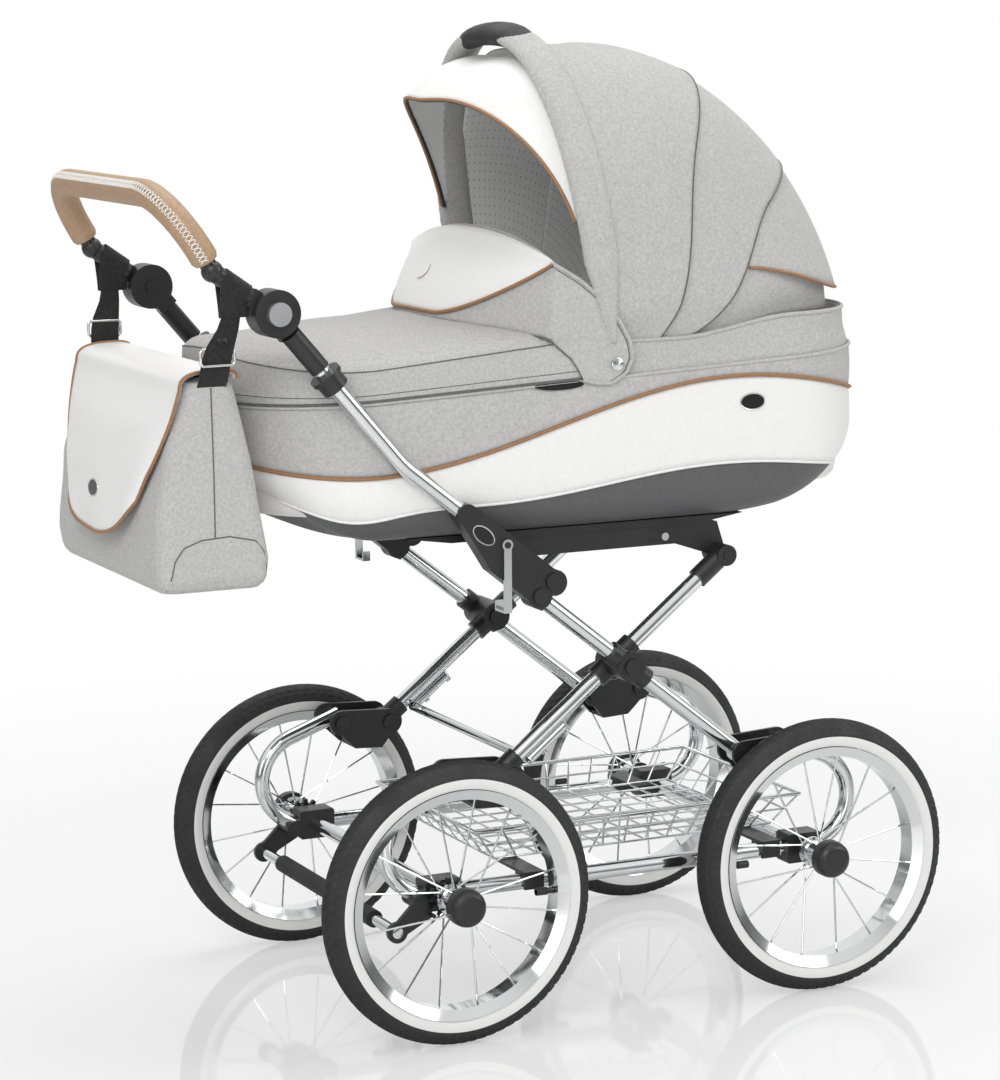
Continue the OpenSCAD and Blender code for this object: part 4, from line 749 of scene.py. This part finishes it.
def cover_face(u, v):
    """u runs round the foot end from side to side, v from the border's lower edge to the middle."""
    x, y, nx, ny = plan(mix(HEAD_U, 1 - HEAD_U, u))
    if v < COVER_BORDER:
        share = v / COVER_BORDER
        puff = 2.4 + 1.6 * sin(pi * share)
        return x + nx * puff, y + ny * puff, mix(rim_line(x) + 3, cover_top(x, y) - SHOULDER, share)
    share = (v - COVER_BORDER) / (1 - COVER_BORDER)
    roll_in = sin(min(1, share / 0.09) * pi / 2)
    px, py = x + nx * 2 * (1 - roll_in), y + ny * 2 * (1 - roll_in)
    ty = py * (1 - share)
    tx = px + (max(-300.0, min(px, -280.0)) - px) * share if px < -280 else px
    tx = min(tx, collar_foot(ty) + 3)
    drag = 1.3 * sin(tx * 0.045 + ty * 0.03) * sin(ty * 0.021) * min(1, share * 3)
    return tx, ty, cover_top(tx, ty) - SHOULDER * (1 - roll_in) + drag


sheet("foot_cover_cloth", 150, 40, cover_face, "carrycot", GREY_LINED, ["foot_cover"], thick=3)
tube("cover_seam", line_of(cover_face, 0.335, 150), 0.8, "carrycot", SEAM_AND_SHADOW)
# The border's hem is drawn dark: painted shadow of the gap where the border overhangs the side.
tube("cover_hem_shadow_line", line_of(cover_face, 0.0, 150), 1.9, "carrycot", SEAM_AND_SHADOW)
tube("cover_hem_stitch", line_of(cover_face, 0.07, 150), 0.55, "carrycot", SEAM_AND_SHADOW, sides=1)
print("foot cover laid")

# %% [markdown]
# The wind collar stands up behind the foot cover. In front it is an arched strip that leans back, and
# its two ends run down the sides as rounded tongues to the studs at the hood's pivot. Its two long edges
# are drawn as curves and the cloth is laid between them. A white flap is folded over the front.

# %% Wind collar
PIVOT = (-10.0, 808.0)
FRONT_SHARE, SIDE_Y, BELLY = 0.6, 204.5, 9
TONGUE_LOW = [(-98, 840), (-89, 831), (-72, 817), (-62, 803), (-56, 792)]
TONGUE_EDGE = [
    (-93, 932), (-59, 912), (-34, 892), (-8, 864), (9, 835),
    (12, 815), (4, 797), (-17, 785), (-38, 786), (-56, 791),
]


def read_off(stops, t):
    """A point along a list of stops, t from 0 to 1."""
    place = min(max(t, 0.0), 1.0) * (len(stops) - 1)
    k = min(len(stops) - 2, int(place))
    return tuple(mix(a, b, place - k) for a, b in zip(stops[k], stops[k + 1]))


def collar_point(across, h, out=0.0):
    """across is -1 to 1 from the right tongue to the left, h is 0 at the foot and 1 at the top edge."""
    hand, far = (1 if across >= 0 else -1), abs(across)
    t = min(1.0, far / FRONT_SHARE)
    half = COLLAR_HALF * t
    x = collar_foot(half)
    low = Vector((x, half, cover_top(x, half) - 2))
    top = Vector((mix(-106, -93, t), half, 967 - 35 * t**2.2))
    belly = BELLY * sin(pi * h)
    if far > FRONT_SHARE:
        t = (far - FRONT_SHARE) / (1 - FRONT_SHARE)
        (lx, lz), (ex, ez) = read_off(TONGUE_LOW, t), read_off(TONGUE_EDGE, t)
        low, top = Vector((lx, SIDE_Y, lz)), Vector((ex, SIDE_Y, ez))
        belly *= max(0.0, 1 - t * 2.2)
    lean = atan(2 * COLLAR_DEEP * half / COLLAR_HALF**2)
    away = Vector((-cos(lean), sin(lean), 0.45 * cos(lean))).normalized()
    p = low.lerp(top, h) + away * (belly + out)
    return p.x, p.y * hand, p.z


def collar_line(h, out, count):
    """The run of points along the collar at one height, from tongue to tongue."""
    return [[collar_point(mix(-1, 1, i / count), h, out) for i in range(count + 1)]]


def collar_face(u, v):
    return collar_point(2 * u - 1, v)


def flap_face(u, v):
    s = abs(2 * u - 1)
    low = mix(0.05, 0.99, max(0.0, (s - 0.28) / 0.72) ** 1.8)
    roll = 3.3 * sin(pi * min(1.0, v * 7)) if v < 1 / 7 else 0.0
    across = (2 * u - 1) * FRONT_SHARE * 0.985
    x, y, z = collar_point(across, mix(1.0, low, v), 3.5 + 4.5 * sin(pi * v) ** 0.6)
    return x, y, z + roll


sheet("collar_cloth", 110, 16, collar_face, "carrycot", GREY_LINED, ["wind_collar"], thick=4, flip=True)
sheet("flap_hide", 72, 18, flap_face, "wind_flap", WHITE, ["wind_flap"], thick=3)
tube("flap_piping", line_of(flap_face, 1.0, 90), 2.2, "wind_flap", TAN)
tube("collar_binding", collar_line(1.0, 0.0, 160), 2.4, "carrycot", GREY)
tube("collar_stitch", collar_line(0.95, 0.3, 160), 0.6, "carrycot", SEAM_AND_SHADOW, sides=1)
tube("collar_seam", collar_line(0.0, 0.6, 120), 0.8, "carrycot", SEAM_AND_SHADOW)
print("collar and flap made")

# %% [markdown]
# Small round and oval hardware: the studs at the pivot, plain snaps on the two flaps, plain oval plates on
# the band and the hinge brackets, and the black trim of the slot beside the tongue. Each starts as a disc
# that is drawn out, stepped in at its face and rounded at its edge.


# %% Studs, snaps and plates
def disc(name, centre, facing, wide, tall, high, body, cover, dome=0.0, spin=0.0):
    """An oval disc at a drawing point; facing is its outward direction and spin turns it about that."""
    slot, rim, *inlay = cover
    bm = bmesh.new()
    bmesh.ops.create_circle(bm, cap_ends=True, segments=40, radius=1)
    bmesh.ops.scale(bm, vec=(wide * MM, tall * MM, 1), verts=bm.verts)
    grown = bmesh.ops.extrude_face_region(bm, geom=list(bm.faces))
    lifted = [g for g in grown["geom"] if isinstance(g, bmesh.types.BMVert)]
    bmesh.ops.translate(bm, verts=lifted, vec=(0, 0, high * MM))
    bmesh.ops.recalc_face_normals(bm, faces=bm.faces)
    cap = [f for f in bm.faces if f.normal.z > 0.9]
    step = -0.25 * high * MM if inlay else 0.0
    bmesh.ops.inset_region(bm, faces=cap, thickness=0.14 * min(wide, tall) * MM, depth=step)
    cap = [f for f in bm.faces if f.normal.z > 0.9 and len(f.verts) > 4]
    for f in cap:
        f.material_index = len(inlay)
    if dome:
        poked = bmesh.ops.poke(bm, faces=cap)
        bmesh.ops.translate(bm, verts=poked["verts"], vec=(0, 0, dome * MM))
    upper = [e for e in bm.edges if max(v.co.z for v in e.verts) > 0.5 * high * MM]
    brims = [e for e in upper if e.calc_face_angle(0) > 1.0]
    bmesh.ops.bevel(
        bm, geom=brims, offset=0.22 * high * MM, segments=2, profile=0.5, affect="EDGES", material=-1
    )
    turn = Vector(facing).to_track_quat("Z", "Y").to_matrix().to_4x4()
    place = Matrix.Translation(at(*centre)) @ turn @ Matrix.Rotation(radians(spin), 4, "Z")
    bmesh.ops.transform(bm, matrix=place, verts=bm.verts)
    return finish_mesh(name, bm, body, (slot, rim, *(inlay or [rim])), smooth=False)


TRIM, FRAME_TILT = ("black_plastic", black_plastic, black_gloss), 38.4
for hand, side in HANDS:
    out, tilt = (0, hand, 0), hand * FRAME_TILT
    pivot, bracket = (PIVOT[0], hand * 204.0, PIVOT[1]), (-200, hand * 224.9, 614)
    disc(f"stud_{side}", pivot, out, 8, 8, 4.5, "carrycot", CHROME, dome=1.6)
    disc(f"band_plate_{side}", (181, hand * 202.2, 751), out, 18, 11, 2.4, "carrycot", PLATE)
    disc(f"bracket_plate_{side}", bracket, out, 17, 9.5, 0.8, "outer_frame", PLATE, spin=tilt)
    disc(f"slot_trim_{side}", (-87, hand * 201.0, 786), out, 33, 6, 3.0, "carrycot", TRIM)
spot, above, beside = (Vector(flap_face(u, v)) for u, v in ((0.5, 0.6), (0.5, 0.5), (0.56, 0.6)))
outward = (beside - spot).cross(above - spot).normalized()
outward = -outward if outward.x > 0 else outward
disc("flap_snap", spot + outward * 0.4, outward, 12, 12, 2.0, "wind_flap", WHITE, dome=0.5)
print("studs, snaps and plates made")

# %% [markdown]
# The hood has three cloth sections on bows that turn about one pivot. Each section is a slice of one
# arched form, nested inside the one in front of it so that they can slide together. Their lower edges
# tuck in behind the hem of the head wall.

# %% Hood form
HOOD_H, HOOD_W, HOOD_BULGE, HOOD_STEP = 392.0, 195.0, 12.0, 4.5
BOW_TURN = -9.0


def arch(nested, start, count=120):
    """Points (radius, y) of half an arch, nested so many steps in, from its low edge to the crown."""
    h, w = HOOD_H - nested * HOOD_STEP, HOOD_W - nested * HOOD_STEP
    raw = []
    for i in range(401):
        a = pi / 2 * i / 400
        r = h * sin(a) ** (2 / 3)
        raw.append((r, w * max(0.0, cos(a)) ** (2 / 3) + HOOD_BULGE * sin(pi * min(1, r / h))))
    raw = [p for p in raw if p[0] >= start]
    size = [0.0]
    for p, q in zip(raw, raw[1:]):
        size.append(size[-1] + hypot(q[0] - p[0], q[1] - p[1]))
    out, k = [], 0
    for i in range(count + 1):
        want = size[-1] * i / count
        while k < len(size) - 2 and size[k + 1] < want:
            k += 1
        t = (want - size[k]) / max(1e-9, size[k + 1] - size[k])
        out.append((mix(raw[k][0], raw[k + 1][0], t), mix(raw[k][1], raw[k + 1][1], t)))
    return out


def crown_share(s):
    """0 at the low edges of an arch and 1 at its crown."""
    return 1 - abs(2 * s - 1)


def on_arch(table, s):
    """A point of the whole arch, s from 0 at the right low edge over the crown to 1 at the left."""
    r, y = read_off(table, crown_share(s))
    return r, -y if s < 0.5 else y


def arch_frame(table, s):
    """An arch point with its outward direction in the plane of the arch."""
    step = 0.006
    r0, y0 = on_arch(table, max(0.0, s - step))
    r1, y1 = on_arch(table, min(1.0, s + step))
    size = hypot(r1 - r0, y1 - y0)
    return *on_arch(table, s), (y1 - y0) / size, (r0 - r1) / size


def turned(r, y, angle):
    """That arch point turned back from the upright by an angle in degrees."""
    return PIVOT[0] + r * sin(radians(angle)), y, PIVOT[1] + r * cos(radians(angle))


def hem_turn(r):
    """The angle at which an arch point of that radius comes down to the hem."""
    turn = 70.0
    for _ in range(8):
        x = PIVOT[0] + r * sin(radians(turn))
        turn = degrees(acos(min(1.0, (hem_line(x) - 2 - PIVOT[1]) / r)))
    return turn


def front_seam(r):
    """The angle of the seam between the front and middle sections."""
    return 26 + 48 * (1 - min(1.0, max(0.0, (r - 60) / 250))) ** 2.4


def rear_seam(r):
    """The angle of the seam between the middle and rear sections."""
    return 52 + 25 * (1 - ease((r - 90) / 210))


def vent_turn(r):
    """The angle of the vent flap's lower edge."""
    return degrees(acos((mix(916, 876, ease((r - 215) / 165)) - PIVOT[1]) / r))


def tucked(p):
    """Draws a hood point in behind the hem where it comes near."""
    x, y, z = p
    return x, y * (1 - 0.05 * (1 - ease((z - hem_line(x)) / 45))), z


front_arch, middle_arch, rear_arch, vent_arch = arch(0, 28), arch(1, 70), arch(2, 116), arch(2, 222)
print("arch height", round(front_arch[-1][0]), "mm")

# %% [markdown]
# Each section is laid between its two seams. Tension draws the cloth in a little between them, and two
# soft folds run down the front section from the crown. A vent flap hangs over the rear section.


# %% Hood sections
def drag_fold(u, v, start, slope, width):
    """A soft groove that runs slantwise from the crown down a section."""
    return 2.4 * exp(-(((v - start - slope * (1 - crown_share(u))) / width) ** 2))


def front_face(u, v):
    r, y, nr, ny = arch_frame(front_arch, u)
    share = crown_share(u)
    folds = drag_fold(u, v, 0.12, 0.75, 0.05) + drag_fold(u, v, 0.30, 0.65, 0.06)
    dip = (11 * (1 - ease(v / 0.6)) + 1.6 * sin(pi * v)) * ease((share - 0.3) / 0.5)
    dip += folds * ease((share - 0.4) / 0.25) * sin(pi * v)
    return tucked(turned(r - nr * dip, y - ny * dip, mix(-6.0, min(front_seam(r), hem_turn(r)), v)))


def middle_face(u, v):
    r, y, nr, ny = arch_frame(middle_arch, u)
    dip = 1.4 * sin(pi * v) * ease((crown_share(u) - 0.2) / 0.4)
    angle = mix(front_seam(r) - 2, min(rear_seam(r), hem_turn(r)), v)
    return tucked(turned(r - nr * dip, y - ny * dip, angle))


def rear_face(u, v):
    r, y, nr, ny = arch_frame(rear_arch, u)
    dip, start = 1.2 * sin(pi * v), rear_seam(r) - 2
    return tucked(turned(r - nr * dip, y - ny * dip, mix(start, max(start, hem_turn(r)), v)))


def vent_face(u, v):
    r, y, nr, ny = arch_frame(vent_arch, u)
    out, start = 2.0 + 11 * v**1.6 * ease(crown_share(u) / 0.35), rear_seam(r) - 1.5
    return turned(r + nr * out, y + ny * out, mix(start, max(start, vent_turn(r)), v))


for part, rows, place, body in (
    ("front", 26, front_face, "hood_front"),
    ("middle", 20, middle_face, "hood_middle"),
    ("rear", 20, rear_face, "carrycot"),
):
    nodes = [f"hood_{part}_section"]
    sheet(f"hood_{part}_cloth", 160, rows, place, body, GREY_DOTTED, nodes, thick=2.6, flip=True)
sheet("vent_flap_cloth", 120, 12, vent_face, "carrycot", GREY_LINED, thick=2.4, flip=True)
tube("hood_seam_front", line_of(front_face, 1.0, 160), 0.9, "hood_front", SEAM_AND_SHADOW)
tube("hood_seam_middle", line_of(middle_face, 1.0, 160), 0.9, "hood_middle", SEAM_AND_SHADOW)
tube("vent_piping", line_of(vent_face, 1.0, 160), 2.1, "carrycot", TAN)
print("hood sections laid")

# %% [markdown]
# The bow is a padded tube of the same cloth. It stands off the cloth at the crown, where a black
# moulded grip is set into it for carrying. The visor hangs forward from the bow: white leatherette with a
# tan edge, lined, with a black cord drawn just inside the edge on its inner side.

# %% Bow, grip and visor
BOW_HALF, BOW_DEEP = 23.0, 10.0
CARRY_FROM, VISOR_FROM = 0.415, 0.17


def bow_ring(s, v, half, deep, ruffle=0.0):
    """A point of the bow's section at s along the arch, v round the section from 0 to 1."""
    r, y, nr, ny = arch_frame(front_arch, s)
    c, d = cos(2 * pi * v), sin(2 * pi * v)
    crown_lift = 9 * ease((crown_share(s) - 0.62) / 0.38)
    rise = 1.0 + crown_lift + deep * d + ruffle * sin(s * 460) * max(0.0, -c)
    wide = degrees(half / max(r, 130)) * abs(c) ** 0.85 * (1 if c > 0 else -1)
    return turned(r + nr * rise, y + ny * rise, BOW_TURN + wide)


def bow_face(u, v):
    return bow_ring(u, v, BOW_HALF, BOW_DEEP, 1.0 - ease((crown_share(u) - 0.75) / 0.08))


def carry_face(u, v):
    end = sin(pi * u) ** 0.18 if 0 < u < 1 else 0.0
    s = mix(CARRY_FROM, 1 - CARRY_FROM, u)
    return bow_ring(s, v, (BOW_HALF + 2.5) * end, (BOW_DEEP + 4.0) * end)


def visor_face(u, v):
    s = mix(VISOR_FROM, 1 - VISOR_FROM, u)
    r, y = on_arch(front_arch, s)
    far = ease((crown_share(s) - 0.30) / 0.70)
    angle = mix(BOW_TURN, -16.0 - 11.5 * far, v)
    top = 5 + 14 * ease((crown_share(s) - 0.7) / 0.3)
    sink = mix(top, 12 + 22 * far, v**1.4) - 5 * sin(pi * v) * far
    return turned(r - sink, y * (1 - sink / 420), angle)


sheet("hood_bow", 200, 24, bow_face, "hood_front", GREY, closed=True)
sheet("carry_grip", 48, 24, carry_face, "hood_front", RUBBER, ["hood_grip"], closed=True)
sheet("visor_hide", 120, 16, visor_face, "hood_front", WHITE_LINED, thick=2.4)
rim = line_of(visor_face, 1.0, 110)
tube("visor_piping", rim, 2.1, "hood_front", TAN)
# A black cord drawn just inside the tan piping, on the inner side of the visor's edge.
tube("visor_inner_dark_cord", [[(x + 2.5, y * 0.982, z - 1.5) for x, y, z in rim[0]]], 2.0, "hood_front", RUBBER)
print("bow, visor and carrying grip made")

# %% [markdown]
# The leather grip is a thick hide sleeve on the U handle, closed with a cross stitched seam. The sleeve
# sinks a little at the seam and thins out at its two ends.

# %% Grip
GRIP_TURN, GRIP_END = radians(58.8), (-534.19, 943.11)
GRIP_REACH, GRIP_BEND, GRIP_HALF = 102.0, 80.0, 212.6
GRIP_LEG, GRIP_ARC = GRIP_REACH - GRIP_BEND, pi / 2 * GRIP_BEND
GRIP_LEN = 2 * (GRIP_LEG + GRIP_ARC + GRIP_HALF - GRIP_BEND)
GRIP_SIDE = Vector((sin(GRIP_TURN), 0, cos(GRIP_TURN)))
GRIP_START, GRIP_R = 13.5 / GRIP_LEN, 16.4
SEAM_TURN, STITCHES, STITCH_TURN, STITCH_R = 248.0, 110, 17, 16.6


def grip_spot(s, turn, r):
    """A point round the U handle's centre line, s from 0 to 1 along it and turn in degrees about it."""
    hand, d = (-1, s * GRIP_LEN) if s < 0.5 else (1, (1 - s) * GRIP_LEN)
    a = min(pi / 2, max(0.0, (d - GRIP_LEG) / GRIP_BEND))
    y = hand * (GRIP_HALF - GRIP_BEND + GRIP_BEND * cos(a) - max(0.0, d - GRIP_LEG - GRIP_ARC))
    out, climb = min(d, GRIP_LEG) + GRIP_BEND * sin(a), -hand * cos(a)
    centre = Vector((GRIP_END[0] - out * cos(GRIP_TURN), y, GRIP_END[1] + out * sin(GRIP_TURN)))
    ahead = Vector((-climb * cos(GRIP_TURN), sin(a), climb * sin(GRIP_TURN)))
    turn = radians(turn)
    p = centre + GRIP_SIDE * (r * cos(turn)) + ahead.cross(GRIP_SIDE) * (r * sin(turn))
    return p.x, p.y, p.z


def grip_face(u, v):
    turn, end = 360 * v, min(u, 1 - u) * GRIP_LEN
    r = GRIP_R - 2.4 * (1 - ease(end / 5)) - 1.1 * max(0.0, 1 - abs(turn - SEAM_TURN) / 9)
    return grip_spot(mix(GRIP_START, 1 - GRIP_START, u), turn, r)


sheet("grip_leather", 220, 40, grip_face, "handle", ("leather", tan_hide), ["grip"], closed=True)
threads = []
for i in range(STITCHES):
    start, stop = (mix(GRIP_START * 1.3, 1 - GRIP_START * 1.3, (i + part) / STITCHES) for part in (0, 0.8))
    for a, b in ((start, stop), (stop, start)):
        threads.append([
            grip_spot(a, SEAM_TURN - STITCH_TURN, STITCH_R), grip_spot(mix(a, b, 0.5), SEAM_TURN, 17.0),
            grip_spot(b, SEAM_TURN + STITCH_TURN, STITCH_R),
        ])
tube("grip_stitches", threads, 0.75, "handle", ("leather", thread_white), sides=1)
print("grip", round(GRIP_LEN), "mm long")

# %% [markdown]
# The bag hangs from the handle. It is a soft box, slim at the top and full at the bottom, with a sewn-in
# D-shaped gusset at each end and a zip along the top. Two curves give its front and back at each height,
# and rounded rectangles are laid between them.

# %% Bag
BAG_W, BAG_CORNER, BAG_FOOT, BAG_TOP, BAG_CLOSE = 188.0, 17.0, 566.0, 812.0, 0.14
BAG_FRONT = [(566, -588), (574, -595), (600, -599), (650, -596), (700, -589), (763, -573), (812, -557)]
BAG_BACK = [
    (566, -468), (574, -460), (600, -457), (650, -465), (700, -474), (763, -486), (793, -493), (812, -499)
]
GUSSET = [
    (-586, 570), (-583, 585), (-578, 606), (-567, 621), (-545, 629),
    (-510, 631), (-478, 624), (-467, 611), (-463, 590), (-466, 572),
]
SIDE_SEAM = [(-528, 806 - 175 * i / 12) for i in range(13)]


def height_table(table, z):
    """Reads a value off a table of (height, value)."""
    for (z0, a), (z1, b) in zip(table, table[1:]):
        if z <= z1:
            return mix(a, b, max(0.0, (z - z0) / (z1 - z0)))
    return table[-1][1]


def rounded_box(u, half_x, half_y, corner):
    """A point of a rounded rectangle, u from 0 to 1, starting in the middle of its +x side."""
    quarter = int((u % 1.0) * 4)
    t = (u % 1.0) * 4 - quarter
    t = 1 - t if quarter % 2 else t
    if t < 0.5:
        x, y = half_x, (half_y - corner) * t / 0.5
    elif t < 0.75:
        a = (t - 0.5) / 0.25 * pi / 2
        x, y = half_x - corner * (1 - cos(a)), half_y - corner * (1 - sin(a))
    else:
        x, y = (half_x - corner) * (1 - t) / 0.25, half_y
    return x * (-1 if quarter in (1, 2) else 1), y * (-1 if quarter in (2, 3) else 1)


def bag_section(z):
    """Middle, half depth, half width and corner of the bag at a height."""
    front, back = height_table(BAG_FRONT, z), height_table(BAG_BACK, z)
    half_y = BAG_W - 7 * (1 - ease((z - BAG_FOOT) / 16)) - 4 * ease((z - 690) / 120)
    return (front + back) / 2, (back - front) / 2, half_y, min(BAG_CORNER, (back - front) * 0.3)


def bag_face(u, v):
    """u round the bag's plan, v from the middle of the bottom up the sides to the zip."""
    share = min(1.0, max(0.0, (v - BAG_CLOSE) / (1 - 2 * BAG_CLOSE)))
    z = mix(BAG_FOOT, BAG_TOP, share)
    middle, half_x, half_y, corner = bag_section(z)
    x, y = rounded_box(u, half_x, half_y, corner)
    closing = min(1.0, v / BAG_CLOSE, (1 - v) / BAG_CLOSE)
    ridge = max(half_x - half_y, min(half_y - half_x, y))
    crease = 1.6 * sin(z * 0.06 + x * 0.05) * sin(y * 0.027) * sin(pi * share) * (0.4 if x > 0 else 0.8)
    rise = 4 * (1 - closing) if v > 0.5 else 0.0
    return middle + (x + crease) * closing, mix(ridge, y, closing), z + rise


def bag_end(x, z):
    """How far out the bag's end face stands at a point of its outline."""
    middle, half_x, half_y, corner = bag_section(z)
    past = min(corner, max(0.0, abs(x - middle) - (half_x - corner)))
    return half_y - corner + sqrt(corner**2 - past**2)


bag_cloth = sheet("bag_cloth", 160, 56, bag_face, "bag", GREY, ["bag_body"], closed=True)
seams = [
    [(x, hand * bag_end(x, z), z) for x, z in outline] for hand in (-1, 1) for outline in (GUSSET, SIDE_SEAM)
]
bag_seams = tube("bag_seams", seams, 0.9, "bag", SEAM_AND_SHADOW)
for piece in (bag_cloth, bag_seams):
    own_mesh(piece)
zip_run = [(-531, mix(-150, 150, i / 20), BAG_TOP + 4) for i in range(21)]
tube("bag_zip", [zip_run], 2.4, "bag", WEBBING)
print("bag sewn")

# %% [markdown]
# The white flap lies over the bag's top, bulges in front and narrows to a round lower edge. Tan piping
# runs round its edge and a plain dark snap closes it.

# %% Bag flap
FLAP_HALF, FLAP_FOLD, FLAP_LOW, FLAP_RISE = 185.0, 806.0, 622.0, 48.0
FLAP_OVER, FLAP_TAPER, FLAP_SNAP = 0.34, 0.36, 0.82


def bag_flap_face(u, v):
    """u across the flap, v from the fold at the back over the top and down the front."""
    side = 2 * u - 1
    if v < FLAP_OVER:
        turn = pi * v / FLAP_OVER
        bulge = abs(cos(turn)) ** 0.7 * (1 if turn < pi / 2 else -1)
        z = mix(816, FLAP_FOLD, v / FLAP_OVER) + 15 * max(0.0, sin(turn)) ** 0.7
        return -531.5 + 35.5 * bulge, side * FLAP_HALF, z
    share = (v - FLAP_OVER) / (1 - FLAP_OVER)
    z = mix(FLAP_FOLD, FLAP_LOW + FLAP_RISE * abs(side) ** 3, share)
    ripple = 1.5 * sin(side * 7 + share * 3) * share
    out = mix(8, 5 + 13 * (1 - abs(side) ** 5), ease(share / 0.35)) + ripple
    return height_table(BAG_FRONT, z) - out, side * FLAP_HALF * (1 - FLAP_TAPER * share**1.8), z


sheet("bag_flap_hide", 72, 48, bag_flap_face, "bag_flap", WHITE_LINED, ["bag_flap"], thick=2.6)
edge_run = [bag_flap_face(0.0, i / 40) for i in range(41)]
edge_run += [bag_flap_face(i / 72, 1.0) for i in range(1, 72)]
edge_run += [bag_flap_face(1.0, 1 - i / 40) for i in range(41)]
tube("bag_flap_piping", [edge_run], 2.2, "bag_flap", TAN)
snap_x, snap_y, snap_z = bag_flap_face(0.5, FLAP_SNAP)
disc("bag_snap", (snap_x + 0.6, snap_y, snap_z), (-1, 0, 0.1), 17, 11, 2.0, "bag_flap", PLATE)
print("bag flap made")

# %% [markdown]
# Black webbing holds the bag. A loop is wrapped round each handle stub, and a strap runs from it through
# a metal ring into the end of the bag. Both are flat ribbons, laid along a path of points.

# %% Webbing and rings
STUB, STUB_TURN = Vector((-508.8, 212.6, 925.3)), radians(35)
STUB_ALONG = Vector((-cos(STUB_TURN), 0, sin(STUB_TURN)))
STUB_OVER = Vector((sin(STUB_TURN), 0, cos(STUB_TURN)))
LOOP_R, LOOP_HALF, RING_Y = 12.6, 18, 199.5
LOOP_ENDS = ((1.6, 889), (4.5, 903), (-4.5, 903), (-1.6, 889))
STRAP = (  # x, y, z and half width
    (-512, 212.6, 893, 11), (-515, 208, 876, 13), (-522, 202, 856, 17), (-525, 198, 842, 18),
    (-527, 194, 826, 18), (-527, 189, 815, 18), (-527, 182, 807, 18), (-527, 178, 799, 18),
)
RING = (
    (-543, 833), (-546, 836), (-546, 849), (-543, 852), (-507, 852), (-504, 849), (-504, 836), (-507, 833)
)


def ribbon(name, path, body, nodes):
    """Flat webbing through a list of (point, half width) pairs of drawing vectors."""

    def place(u, v):
        t = min(max(u, 0.0), 1.0) * (len(path) - 1)
        k = min(len(path) - 2, int(t))
        (p, half), (q, next_half) = path[k : k + 2]
        spot = p.lerp(q, t - k) + half.lerp(next_half, t - k) * (2 * v - 1)
        return spot.x, spot.y, spot.z

    return sheet(name, 4 * (len(path) - 1), 6, place, body, WEBBING, nodes, thick=1.6)


for hand, side in HANDS:
    centre, sideways = Vector((STUB.x, hand * STUB.y, STUB.z)), Vector((0, hand, 0))
    wrap = []
    for i in range(17):
        a = radians(mix(-35, 215, i / 16))
        spot = centre + sideways * (LOOP_R * cos(a)) + STUB_OVER * (LOOP_R * sin(a))
        wrap.append((spot, STUB_ALONG * LOOP_HALF))
    ends = [(Vector((STUB.x, hand * (STUB.y + y), z)), Vector((-LOOP_HALF, 0, 0))) for y, z in LOOP_ENDS]
    strap = [(Vector((x, hand * y, z)), Vector((-half, 0, 0))) for x, y, z, half in STRAP]
    ribbon(f"loop_{side}", ends[:2] + wrap + ends[2:], "handle", ["bag_loops"] if hand < 0 else ())
    ribbon(f"strap_{side}", strap, "bag", ["bag_straps"] if hand < 0 else ())
    ring = [(x, hand * RING_Y, z) for x, z in RING]
    tube(f"ring_{side}", [ring], 1.9, "bag", CHROME, cyclic=True, sides=3)
    snap, snap_out = (-520.5, hand * 204.6, 862), (0, hand, 0.3)
    disc(f"strap_snap_{side}", snap, snap_out, 6, 6, 2.4, "bag", ("black_metal", black_gloss), dome=0.8)
print("webbing and rings made")
